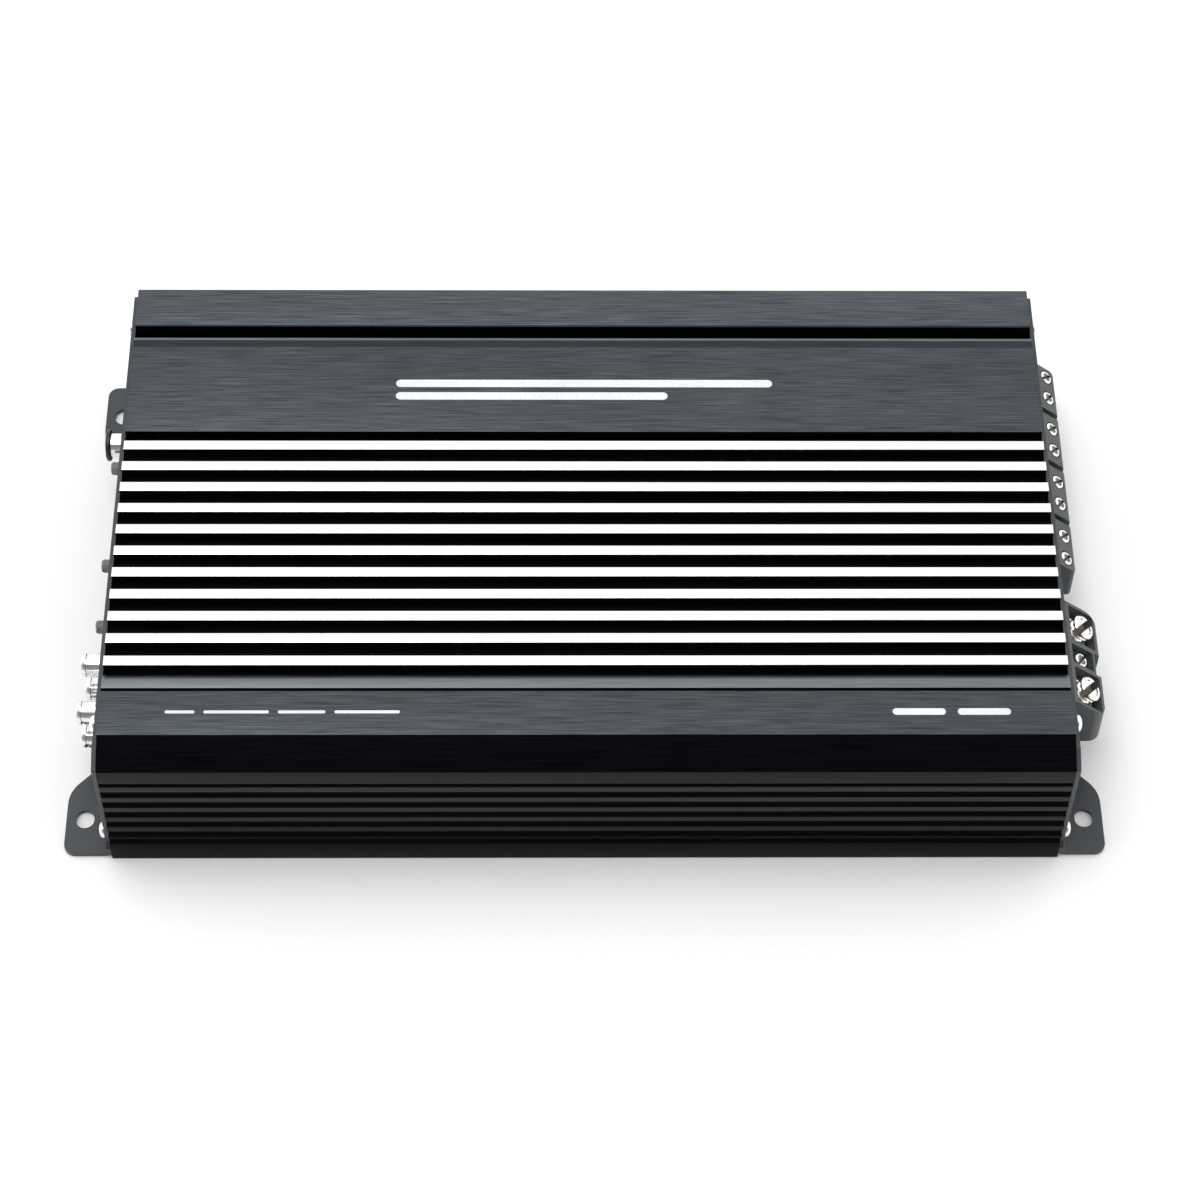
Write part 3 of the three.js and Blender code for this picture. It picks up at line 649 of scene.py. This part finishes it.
def make_print():
    """Plain bars where an amplifier carries its lettering."""
    wide = deck(sum(WIDE_BAND) / 2)
    near = deck(NEAR_BAND / 2)
    title, small, large = 3.4, 1.2, 2.6
    bars = [print_bar(-68, 68, wide + 2.6, title), print_bar(-68, 30, wide - 3.2, title)]
    bars += [print_bar(x, x + run, near, small) for x, run in ((-142, 10), (-129, 22), (-104, 16), (-85, 22))]
    bars += [print_bar(x, x + 18, near, large) for x in (103, 125)]
    finish_piece(join(bars), "printed_bars", ["ink"], CHASSIS)


# ---------- end plates ----------
def ear_outline(end):
    """Plan of one ear from the bend outward; end is -1 at the front, 1 at the back."""
    root_x = PLATE_OUT + BEND
    corners = [(root_x, EAR_FRONT), (EAR_X, EAR_FRONT, 4.0), (EAR_X, EAR_SLOPE_END, 12.0),
               (root_x, EAR_INNER + BEND)]
    return [(a, end * b) for a, b, _ in rounded(corners, 8)]


def loop(bm, points):
    """The edges of a closed loop through points."""
    verts = [bm.verts.new(p) for p in points]
    return [bm.edges.new((verts[i], verts[(i + 1) % len(verts)])) for i in range(len(verts))]


def bend_row(bm, side, ys, angle):
    """Two vertices across a bend; angle is 0 on the panel, a right angle on the ear."""
    x = PLATE_OUT + BEND - BEND * math.cos(angle)
    z = 2 * BEND - BEND * math.sin(angle)
    return [bm.verts.new((side * x, y, z)) for y in ys]


def circle(at, radius, sides=40):
    return [(at[0] + radius * math.cos(2 * math.pi * k / sides),
             at[1] + radius * math.sin(2 * math.pi * k / sides)) for k in range(sides)]


def ear_hole():
    """Plan of an ear's hole: a circle drawn out along Y."""
    points = circle((EAR_HOLE_X, EAR_HOLE_Y), EAR_HOLE_R)
    return [(x, y + math.copysign(EAR_HOLE_STRETCH, y - EAR_HOLE_Y)) for x, y in points]


def window(low, high):
    """Points round a rectangular hole with rounded corners."""
    return [(a, b) for a, b, _ in rounded(rectangle(low, high, 0.6))]


def panel_outline():
    """The upright panel in Y-Z, with a step at its foot where each ear bends out."""
    inner, outer = EAR_INNER + BEND, EAR_FRONT
    inset, bend_z = 0.4, 2 * BEND
    relief = inner - 1.2
    front, back = front_y(BEVEL_Z) + inset, BACK_Y - inset
    corners = [
        (-outer, bend_z), (-outer, bend_z + 1.4, 0.4), (front, bend_z + 3.4, 0.6), (front, BEVEL_Z, 0.6),
        (DECK_Y - 3, PLATE_TOP_Z, 1.0), (back, PLATE_TOP_Z, 1.5), (back, bend_z + 1.0, 0.4),
        (outer, bend_z), (inner, bend_z), (relief, bend_z, 0.5), (relief, inset, 0.4),
        (-relief, inset, 0.4), (-relief, bend_z, 0.5), (-inner, bend_z),
    ]
    return [(a, b) for a, b, _ in rounded(corners)]


def make_end_plate(side, name, holes, node):
    """A panel, two bends and two ears as one sheet, then given its thickness."""
    bm = bmesh.new()
    edges = []
    for outline in (panel_outline(), *holes):
        edges += loop(bm, [(side * PLATE_OUT, a, b) for a, b in outline])
    bmesh.ops.triangle_fill(bm, edges=edges, use_beauty=True)
    for end in (-1, 1):
        ends = [end * (EAR_INNER + BEND), end * EAR_FRONT]
        root = bend_row(bm, side, ends, 0)
        for k in range(1, BEND_STEPS + 1):
            row = bend_row(bm, side, ends, k * math.pi / (2 * BEND_STEPS))
            bm.faces.new((root[0], root[1], row[1], row[0]))
            root = row
        edges = loop(bm, [(side * a, b, BEND) for a, b in ear_outline(end)])
        edges += loop(bm, [(side * a, end * b, BEND) for a, b in ear_hole()])
        bmesh.ops.triangle_fill(bm, edges=edges, use_beauty=True)
    bmesh.ops.remove_doubles(bm, verts=bm.verts, dist=1e-3)
    plate = to_object(bm)
    if plate.data.polygons[0].normal.x * side < 0:
        plate.data.flip_normals()
    step = plate.modifiers.new("sheet", "SOLIDIFY")
    step.thickness = PLATE
    step.offset = -1
    step.use_even_offset = True
    apply_modifiers(plate)
    soften(plate, 0.22, 50)
    finish_piece(plate, name, ["steel"], CHASSIS, [node], 40)
    even_shading(plate)


def plate_screws(word):
    """Names of the four screws through one end plate, left or right."""
    return [f"end_plate_screw_{word}_{i}" for i in range(1, 5)]


def centre(node):
    """The middle of a CAD node's box, in Y-Z."""
    return middle(node).y, middle(node).z


def screw_holes(word):
    """Clearance holes for those screws, in Y-Z."""
    return [circle(centre(n), 1.8, 24) for n in plate_screws(word)]


JACKS = [f"rca_jack_{i}" for i in range(1, 5)]
CONTROLS = ["level_control", "filter_control", "bass_control"]
SWITCHES = ["filter_switch_1", "filter_switch_2"]
BLOCK_WINDOW_TOP = {"speaker_terminal_block": 34.4, "power_terminal_block": CEILING_Z}


def make_plates():
    """Both end plates, each with holes for what passes through it."""
    inputs = [circle(centre(n), 5.2) for n in JACKS]
    inputs += [circle(centre(f"{n}_shaft"), 3.0) for n in CONTROLS]
    for n in SWITCHES:
        y, z = centre(f"{n}_slider")
        inputs.append(window((y - 4, z - 2), (y + 4, z + 2)))
    inputs.append(circle(centre("socket_ring"), 4.8))
    inputs.append(circle(centre("power_lamp"), 1.8, 24))
    make_end_plate(-1, "input_end_plate", inputs + screw_holes("left"), "end_plate_left")
    outputs = []
    for node, top in BLOCK_WINDOW_TOP.items():
        low, high = extent(node)
        outputs.append(window((low.y + 0.8, 17.3), (high.y - 0.8, top)))
    make_end_plate(1, "output_end_plate", outputs + screw_holes("right"), "end_plate_right")


def pan_head():
    """A pan-head screw with a cross recess; local Z is zero under the head."""
    profile = [(0, -12), (1.0, -12), (1.5, -11.3), (1.5, 0), (2.9, 0), (3.05, 0.25), (3.05, 0.8),
               (2.9, 1.3), (2.55, 1.75), (2.0, 2.08), (1.2, 2.26), (0, 2.3)]
    screw = turned(profile, 48)
    arms = []
    for turn in (0.35, 0.35 + math.pi / 2):
        arm = prism([(-1.75, 2.6), (-0.7, 0.9), (0.7, 0.9), (1.75, 2.6)], -0.42, 0.42, "Y")
        arm.data.transform(Matrix.Rotation(turn, 4, "Z"))
        arms.append(arm)
    return combine(screw, "DIFFERENCE", *arms)


def make_plate_screws():
    """Each plate's four pan heads, each turned a little further than the last."""
    entries = []
    for side, word in ((-1, "left"), (1, "right")):
        for i, node in enumerate(plate_screws(word)):
            seat = middle(node)
            spin = Matrix.Rotation(0.5 * i, 4, "Z")
            place = out_of_plate(side * (PLATE_OUT + 0.05), seat, side) @ spin
            entries.append((f"pan_head_{word}_{i + 1}", place, CHASSIS, [node]))
    repeat(pan_head(), ["chrome"], entries)


# ---------- input end ----------
JACK_R, JACK_CONTACT_R = 4.15, 2.1


def make_jacks():
    """Phono jacks: plated shell with two ring grooves, insulator and centre contact."""
    finishes = ["chrome", "nylon", "screw"]
    low, high = extent(JACKS[0])
    tip, rear = -low.x - PLATE_OUT, -PLATE_OUT - high.x
    shell = [(0, rear), (JACK_R, rear), (JACK_R, 0.7), (4.0, 0.85), (4.0, 1.3), (JACK_R, 1.45)]
    shell += [(radius, tip - depth) for radius, depth in (
        (JACK_R, 2.6), (3.9, 2.35), (3.9, 1.9), (JACK_R, 1.65), (JACK_R, 0.35), (4.0, 0.08), (3.85, 0),
        (3.6, 0.1))]
    contact = [(JACK_CONTACT_R, tip - 0.9), (JACK_CONTACT_R, tip - 0.5), (1.65, tip - 0.5), (1.55, 1.5),
               (0, 1.5)]
    profile = [(*row, "chrome") for row in shell]
    profile += [(3.5, tip - 0.9, "nylon"), *[(*row, "screw") for row in contact]]
    entries = []
    for i, node in enumerate(JACKS):
        entries.append((f"phono_jack_{i + 1}", out_of_plate(-PLATE_OUT, middle(node)), CHASSIS, [node]))
    repeat(turned(profile, 64, finishes), finishes, entries)


def make_jack_housing():
    """Black moulding behind the plate, with a collar round each jack."""
    low, high = extent("rca_jack_housing")
    face = -low.x - PLATE_OUT
    front_x, bore_x = -163.8, -155.5
    body = soften(box((front_x, low.y, low.z), high, 1.0), 0.4)
    for node in JACKS:
        collar = turned([(0, -6), (4.9, -6), (4.9, face - 0.3), (4.75, face), (0, face)], 48)
        collar.data.transform(out_of_plate(-PLATE_OUT, middle(node)))
        combine(body, "UNION", collar)
    bores = [rod(4.4, 12, out_of_plate(bore_x, middle(node))) for node in JACKS]
    combine(body, "DIFFERENCE", *bores)
    finish_piece(body, "jack_collars", ["black"], CHASSIS, ["rca_jack_housing"])


def make_controls():
    """Splined control shafts with a screwdriver slot."""
    low, high = extent(f"{CONTROLS[0]}_shaft")
    length = -low.x - PLATE_OUT
    rear = high.x + PLATE_OUT
    r = (high.y - low.y) / 2
    splines, valley = 18, 0.94
    splined = lambda angle, height, radius: (
        radius * (1 if math.sin(splines * angle) > 0 else valley) if 0.6 < height < length - 0.7
        else radius)
    rows = [(0, -rear), (r, -rear), (r, 0.5), (r, 0.65), (r, length - 0.8), (r - 0.15, length - 0.65),
            (r - 0.15, length - 0.3), (r - 0.4, length), (0, length)]
    shaft = turned(rows, 144, wave=splined)
    slot = box((-0.45, -4, length - 1.3), (0.45, 4, length + 1), axis="Y")
    combine(shaft, "DIFFERENCE", slot)
    entries = []
    for i, control in enumerate(CONTROLS):
        spin = Matrix.Rotation(0.6 - 0.5 * i, 4, "Z")
        place = out_of_plate(-PLATE_OUT, middle(f"{control}_shaft")) @ spin
        entries.append((f"{control}_knob", place, control, [f"{control}_shaft"]))
    repeat(shaft, ["grey"], entries)


def make_switches():
    """Slide switch knobs with grip ridges across their ends."""
    stem, flange, groove = 1.2, 1.5, 0.12
    for switch in SWITCHES:
        node = f"{switch}_slider"
        low, high = extent(node)
        y = middle(node).y
        step_x = high.x - flange
        corners = [(low.x, y - stem, 0.2), (step_x, y - stem), (step_x, low.y), (high.x, low.y),
                   (high.x, high.y), (step_x, high.y), (step_x, y + stem), (low.x, y + stem, 0.2)]
        knob = prism(corners, low.z, high.z, "Z")
        grooves = [box((low.x - 1, y + shift - groove, low.z - 1),
                       (low.x + 0.3, y + shift + groove, high.z + 1)) for shift in (-0.6, 0, 0.6)]
        combine(knob, "DIFFERENCE", *grooves)
        soften(knob, 0.07)
        finish_piece(knob, f"{switch}_knob", ["grey"], switch, [node])


def make_socket():
    """Remote level socket: flanged barrel with a bright bezel, and its body inside."""
    low, high = extent("remote_level_socket")
    tip = -low.x - PLATE_OUT
    finishes = ["black", "chrome"]
    profile = [
        (0, -3, "black"), (4.4, -3, "chrome"), (4.4, tip - 1.9, "black"), (5.3, tip - 1.8, "black"),
        (5.8, tip - 1.5, "black"), (5.9, tip - 0.9, "black"), (5.7, tip - 0.3, "black"),
        (5.2, tip - 0.05, "black"), (4.8, tip, "chrome"), (4.1, tip - 0.25, "chrome"),
        (3.8, tip - 0.9, "black"), (2.5, tip - 1.1, "chrome"), (2.2, tip - 0.8, "chrome"),
        (1.8, tip - 0.9, "chrome"), (1.8, 0, "black"), (0, 0, "black"),
    ]
    barrel = turned(profile, 56, finishes)
    barrel.data.transform(out_of_plate(-PLATE_OUT, middle("socket_ring")))
    body = soften(box((-PLATE_IN + 0.3, low.y, low.z), high, 0.5), 0.3)
    finish_piece(join([barrel, body]), "level_socket", finishes, CHASSIS,
                 ["remote_level_socket"])


def make_socket_nut():
    """The socket's knurled ring nut."""
    depth = -extent("socket_ring")[0].x - PLATE_OUT
    bore, rim, teeth, tooth = 4.6, 5.35, 30, 0.22
    knurl = lambda angle, height, radius: (
        radius - (tooth if math.sin(teeth * angle) > 0 else 0)
        if radius == rim and 0.5 < height < depth - 0.4 else radius)
    rows = [(bore, 0.15), (5.1, 0.15), (rim, 0.45), (rim, 0.6), (rim, depth - 0.6), (rim, depth - 0.35),
            (5.0, depth), (bore, depth)]
    nut = turned(rows, 120, wave=knurl, closed=True)
    nut.data.transform(out_of_plate(-PLATE_OUT, middle("socket_ring")))
    finish_piece(nut, "socket_nut", ["chrome"], CHASSIS, ["socket_ring"])


def make_lamp():
    """A small domed lens with a collar behind the plate."""
    face = -extent("power_lamp")[0].x - PLATE_OUT
    rows = [(0, -7), (2.4, -7), (2.4, -1.8), (1.5, -1.6), (1.5, face - 0.6), (1.35, face - 0.25),
            (0.9, face - 0.05), (0, face)]
    lens = turned(rows, 40)
    lens.data.transform(out_of_plate(-PLATE_OUT, middle("power_lamp")))
    finish_piece(lens, "lamp_dome", ["lens"], CHASSIS, ["power_lamp"])


# ---------- output end ----------
BLOCK_FOOT_Z = 16.5
SPEAKER_SCREWS = [f"speaker_screw_{i}" for i in range(1, 9)]


def lip_height(outer_x, seat):
    """Height of a block's lip, where the sloped face through a seat meets the outer one."""
    return seat.z - (outer_x - seat.x) * math.tan(SLOPE)


def block_corners(outer_x, lip_z):
    """A block's section outside the plate: flat foot, upright lip and sloped top."""
    back_z = lip_z + (outer_x - BLOCK_X) * math.tan(SLOPE)
    return [(BLOCK_X, BLOCK_FOOT_Z), (outer_x, BLOCK_FOOT_Z, 1.0), (outer_x, lip_z, 1.2),
            (BLOCK_X, back_z, 0.6)]


def block_body(node, seat, foot_top, end_radius):
    """The outer part, its end corners rounded, joined to the foot behind the plate."""
    low, high = extent(node)
    outer = prism(block_corners(high.x, lip_height(high.x, seat)), low.y, high.y, "Y")
    plan = prism([(BLOCK_X - 1, low.y), (high.x, low.y, end_radius), (high.x, high.y, end_radius),
                  (BLOCK_X - 1, high.y)], 0, 60, "Z", steps=8)
    combine(outer, "INTERSECT", plan)
    foot_low, foot_high = low.y + 1.1, high.y - 1.1
    foot = box((END_X - 1, foot_low, 17.6), (BLOCK_X + 1, foot_high, foot_top))
    base = box((low.x, foot_low, low.z), (END_X - 0.3, foot_high, CEILING_Z - 0.6))
    return combine(outer, "UNION", foot, base)


def pair_gap(outer_x, y, lip_z):
    """A slit round the block between two pairs of terminals."""
    half, depth, inner_x = 1.2, 1.8, BLOCK_X - 2
    slab = box((BLOCK_X - 0.5, y - half, 10), (outer_x + 2, y + half, 45))
    back_z = lip_z - 1.9 + (outer_x - BLOCK_X) * math.tan(SLOPE)
    corners = [(inner_x, 5), (outer_x - depth, 5), (outer_x - depth, lip_z - 0.9), (inner_x, back_z)]
    return combine(slab, "DIFFERENCE", prism(corners, y - 2, y + 2, "Y"))


def make_speaker_block():
    """Eight terminals, with a slit between pairs and a screw and a wire hole in each."""
    node = "speaker_terminal_block"
    outer_x = extent(node)[1].x
    seats = [terminal_seat(name) for name in SPEAKER_SCREWS]
    block = block_body(node, seats[0], 34.1, 1.8)
    cuts = []
    for first, second in zip(seats[1::2], seats[2::2]):
        cuts.append(pair_gap(outer_x, (first.y + second.y) / 2, lip_height(outer_x, seats[0])))
    wire_low, wire_high = 20.4, 25.8
    for seat in seats:
        cuts.append(rod(3.0, 5, tilted(seat, 1.7), 40))
        cuts.append(rod(1.9, 9, tilted(seat, 9.5), 24))
        cuts.append(box((outer_x - 10, seat.y - 2.7, wire_low), (outer_x + 1, seat.y + 2.7, wire_high), 0.5))
    combine(block, "DIFFERENCE", *cuts)
    soften(block, 0.18, 42)
    finish_piece(block, "speaker_block", ["plastic"], CHASSIS, [node])
    even_shading(block)


def cut_slot(screw, finishes, head, width, depth, reach):
    """A driver slot across a head's top, in a dark look of its own that paints the slot's shadow."""
    slot = box((-width / 2, -reach, head - depth), (width / 2, reach, head + 1), axis="Y")
    slot.data.materials.append(LOOKS["slot"])
    for finish in finishes:
        screw.data.materials.append(LOOKS[finish])
    return combine(screw, "DIFFERENCE", slot, materials="TRANSFER")


def slotted_screw(head_r, head, shank_r, shank):
    """A cheese-head screw, local Z zero under the head: a bright rim and a dish darkened as painted shade."""
    finishes = ["screw", "dish"]
    rim = head_r - 0.95
    profile = [(0, -shank), (shank_r - 0.4, -shank), (shank_r, 0.6 - shank), (shank_r, 0),
               (head_r - 0.15, 0), (head_r, 0.2), (head_r, head - 0.4), (head_r - 0.3, head - 0.08),
               (head_r - 0.55, head), (rim, head - 0.1, "dish"), (rim - 0.2, head - 0.4, "dish"),
               (0, head - 0.5, "dish")]
    return cut_slot(turned(profile, 48, finishes), finishes, head, 1.0, 1.0, head_r + 1)


SPEAKER_SLOT_TURNS = (-0.95, -0.7, -0.85, -0.8)


def make_speaker_screws():
    """The eight speaker screws, each slot at its own angle."""
    entries = []
    for i, name in enumerate(SPEAKER_SCREWS):
        place = tilted(terminal_seat(name), 1.4, SPEAKER_SLOT_TURNS[i % 4])
        entries.append((f"speaker_terminal_{i + 1}", place, name, [f"speaker_terminal_screw_{i + 1}"]))
    repeat(slotted_screw(2.6, 1.8, 1.5, 6.4), [], entries)


# Power cells: half width, pocket depth and reach inward and outward along the slope, bores as
# (radius, length, depth, sides), half the tunnel's width, its heights, and the face's set-back.
SUPPLY_CELL = {"half": 7.2, "pocket": 4.6, "reach": (6.4, 6.1), "bores": [(4.9, 13.8, 17.4, 48)],
               "tunnel": 4.8, "heights": (18.4, 27.4)}
REMOTE_CELL = {"half": 3.9, "pocket": 3.2, "reach": (6.3, 4.6),
               "bores": [(3.2, 4.3, 6.5, 40), (2.3, 12.6, 14.8, 32)],
               "tunnel": 2.8, "heights": (22.4, 28.2), "set_back": (4.6, 4.4)}
SUPPLIES = ["battery", "ground"]
SUPPLY_SCREW_DEPTH, SUPPLY_SLOT_TURN = 4.6, -0.8


def cell_cuts(seat, outer_x, cell):
    """Cutting tools for one power cell: pocket, screw bores, set-back and cable tunnel."""
    inward, outward = cell["reach"]
    pocket = prism(rectangle((-inward, -cell["half"]), (outward, cell["half"]), 0.8), -cell["pocket"], 8, "Z")
    pocket.data.transform(tilted(seat))
    cuts = [pocket]
    cuts += [rod(r, length, tilted(seat, depth), sides) for r, length, depth, sides in cell["bores"]]
    if "set_back" in cell:
        near, far = cell["set_back"]
        cuts.append(box((outer_x - 2, seat.y - near, 15), (outer_x + 1, seat.y + far, 50)))
    low_z, high_z = cell["heights"]
    cuts.append(box((outer_x - 14, seat.y - cell["tunnel"], low_z),
                    (outer_x + 1, seat.y + cell["tunnel"], high_z), 0.8))
    return cuts


def make_power_block():
    """The block of the battery, remote and ground terminals."""
    node = "power_terminal_block"
    outer_x = extent(node)[1].x
    block = block_body(node, terminal_seat("battery_screw"), CEILING_Z - 0.3, 4.5)
    cuts = []
    for name, cell in (("battery", SUPPLY_CELL), ("remote", REMOTE_CELL), ("ground", SUPPLY_CELL)):
        cuts += cell_cuts(terminal_seat(f"{name}_screw"), outer_x, cell)
    combine(block, "DIFFERENCE", *cuts)
    soften(block, 0.2, 42)
    finish_piece(block, "power_block", ["plastic"], CHASSIS, [node])
    even_shading(block)


def threaded(radius, pitch, depth):
    """A radius that follows a helical thread."""
    def wave(angle, height, profile_radius):
        if profile_radius != radius:
            return profile_radius
        phase = (height / pitch - angle / (2 * math.pi)) % 1
        return radius - depth * abs(2 * phase - 1)
    return wave


def power_screw():
    """A large clamping screw: helical thread, plain rim and wide slot."""
    radius, rim, pitch, thread_depth = 4.5, 4.6, 1.5, 0.75
    thread_low, thread_high, head = -6.0, 4.5, 5.6
    steps = 64
    profile = [(0, -6.2), (3.8, -6.2)]
    profile += [(radius, thread_low + (thread_high - thread_low) * k / steps) for k in range(steps + 1)]
    profile += [(rim - 0.05, thread_high + 0.15), (rim, thread_high + 0.35), (rim, head - 0.35),
                (rim - 0.3, head), (3.3, head), (3.1, head - 0.45), (0, head - 0.6)]
    screw = turned(profile, 64, wave=threaded(radius, pitch, thread_depth))
    return cut_slot(screw, ["screw"], head, 2.5, 2.6, 7)


def clamp_plate():
    """The clamp cage's square top in the pocket's floor, with a screw hole."""
    plate = prism(rectangle((-5.9, -6.3), (5.2, 6.3), 0.4), 0.02, 0.9, "Z")
    combine(plate, "DIFFERENCE", rod(4.85, 3, Matrix.Translation((0, 0, -1)), 48))
    return soften(plate, 0.12)


def pressure_foot(radius):
    """The disc that a clamping screw pushes onto the cable."""
    profile = [(0, 0), (radius - 0.5, 0), (radius, 0.5), (radius, 1.0), (radius - 0.2, 1.2), (0, 1.2)]
    return turned(profile, 40)


def place_screws(source, names, depth, turn):
    """Clamping screws below their seats, each on its body."""
    entries = [(f"{name}_clamp_screw", tilted(terminal_seat(f"{name}_screw"), depth, turn),
                f"{name}_screw", [f"{name}_terminal_screw"]) for name in names]
    repeat(source, [], entries)


def place_feet(source, names, depth):
    """Pressure feet below their seats, each on its body."""
    entries = [(f"{name}_foot_disc", tilted(terminal_seat(f"{name}_screw"), depth),
                f"{name}_foot", [f"{name}_pressure_foot"]) for name in names]
    repeat(source, ["screw"], entries)


def make_power_screws():
    """Clamping screws, clamp plates and pressure feet of the three power terminals."""
    place_screws(power_screw(), SUPPLIES, SUPPLY_SCREW_DEPTH, SUPPLY_SLOT_TURN)
    repeat(clamp_plate(), ["screw"], [
        (f"{name}_clamp_plate", tilted(terminal_seat(f"{name}_screw"), SUPPLY_SCREW_DEPTH), CHASSIS, [])
        for name in SUPPLIES])
    place_feet(pressure_foot(4.2), SUPPLIES, 12.2)
    place_screws(slotted_screw(2.8, 1.8, 1.9, 6.0), ["remote"], 3, -0.7)
    place_feet(pressure_foot(1.9), ["remote"], 10.4)


# ---------- CAD nodes that stay ----------
def dress_cad_nodes():
    """Materials of the nodes that no piece replaces."""
    slots = {part["node"]: part["material_slot"] for part in frame["record"]["subparts"]}
    for name, node in frame["nodes"].items():
        if node.hide_render:
            continue
        look = LOOKS[SLOT_LOOKS[slots[name]]]
        if not node.material_slots:
            node.data.materials.append(look)
        for place in node.material_slots:
            place.material = look


# ---------- studio ----------
FLOOR_RADIUS, FLOOR_DROP = 6000, 0.3
DARK_SIDE_TILT = math.radians(42)
STUDIO_STRENGTH = 1.28


def make_floor():
    """A plain pale floor, just below the feet so that no faces share a plane."""
    bm = bmesh.new()
    bmesh.ops.create_circle(bm, cap_ends=True, radius=FLOOR_RADIUS, segments=96)
    floor = to_object(bm, "floor")
    floor.data.transform(Matrix.Scale(MM, 4) @ Matrix.Translation((0, 0, -FLOOR_DROP)))
    look = Look("pale_floor", 0.0)
    patches = noise(look.tree, (3.0,) * 3)
    look.colour(shades(look.tree, patches, 0.93, 0.95))
    look.rough(patches, 0.5, 0.6)
    floor.data.materials.append(look.made)


def make_world():
    """A white studio with a darker side behind the camera."""
    world = bpy.data.worlds.new("studio")
    bpy.context.scene.world = world
    world.use_nodes = True
    tree = world.node_tree
    direction = add_node(tree, "ShaderNodeTexCoord").outputs["Generated"]
    toward = Vector((0, -math.cos(DARK_SIDE_TILT), math.sin(DARK_SIDE_TILT)))
    facing = add_node(tree, "ShaderNodeVectorMath", {0: direction, 1: toward}, operation="DOT_PRODUCT")
    shade = ramp(tree, facing.outputs["Value"], [(0.0, 1.0), (0.6, 1.0), (0.88, 0.26), (1.0, 0.2)])
    background = tree.nodes["Background"]
    tree.links.new(shade, background.inputs["Color"])
    background.inputs["Strength"].default_value = STUDIO_STRENGTH


def area_light(name, place, target, size, power):
    """A soft rectangular light, in metres and watts."""
    data = bpy.data.lights.new(name, "AREA")
    data.shape = "RECTANGLE"
    data.size, data.size_y = size
    data.energy = power
    made = add_object(name, data)
    made.location = place
    made.rotation_euler = (Vector(target) - Vector(place)).to_track_quat("-Z", "Y").to_euler()


# The camera: place in metres, downward tilt, turn about Z, roll, and lens in mm.
CAMERA_PLACE = Vector((-0.0137, -0.67611, 0.96888))
CAMERA_ELEVATION = math.radians(54.877)
CAMERA_YAW = math.radians(1.652)
CAMERA_ROLL = math.radians(1.348)
CAMERA_LENS = 96.77


def make_camera():
    """A camera with a full-frame sensor, turned by its yaw, elevation and roll."""
    data = bpy.data.cameras.new("camera")
    data.sensor_width = 36
    data.lens = CAMERA_LENS
    data.clip_start, data.clip_end = 0.01, 50
    camera = add_object("camera", data)
    flat = Vector((math.sin(CAMERA_YAW), math.cos(CAMERA_YAW), 0))
    forward = flat * math.cos(CAMERA_ELEVATION) - Vector((0, 0, math.sin(CAMERA_ELEVATION)))
    right = Vector((math.cos(CAMERA_YAW), -math.sin(CAMERA_YAW), 0))
    up = right.cross(forward)
    tipped = right * math.cos(CAMERA_ROLL) + up * math.sin(CAMERA_ROLL)
    upward = up * math.cos(CAMERA_ROLL) - right * math.sin(CAMERA_ROLL)
    camera.matrix_world = Matrix((
        (tipped.x, upward.x, -forward.x, CAMERA_PLACE.x), (tipped.y, upward.y, -forward.y, CAMERA_PLACE.y),
        (tipped.z, upward.z, -forward.z, CAMERA_PLACE.z), (0, 0, 0, 1)))
    bpy.context.scene.camera = camera


# ---------- the object ----------
make_heatsink()
make_print()
make_plates()
make_plate_screws()
make_jacks()
make_jack_housing()
make_controls()
make_switches()
make_socket()
make_socket_nut()
make_lamp()
make_speaker_block()
make_speaker_screws()
make_power_block()
make_power_screws()
dress_cad_nodes()

make_floor()
make_world()
area_light("overhead", (-0.3, -0.1, 1.9), (0, 0, 0), (1.6, 0.8), 13)
make_camera()
bpy.context.scene.view_settings.view_transform = "Standard"
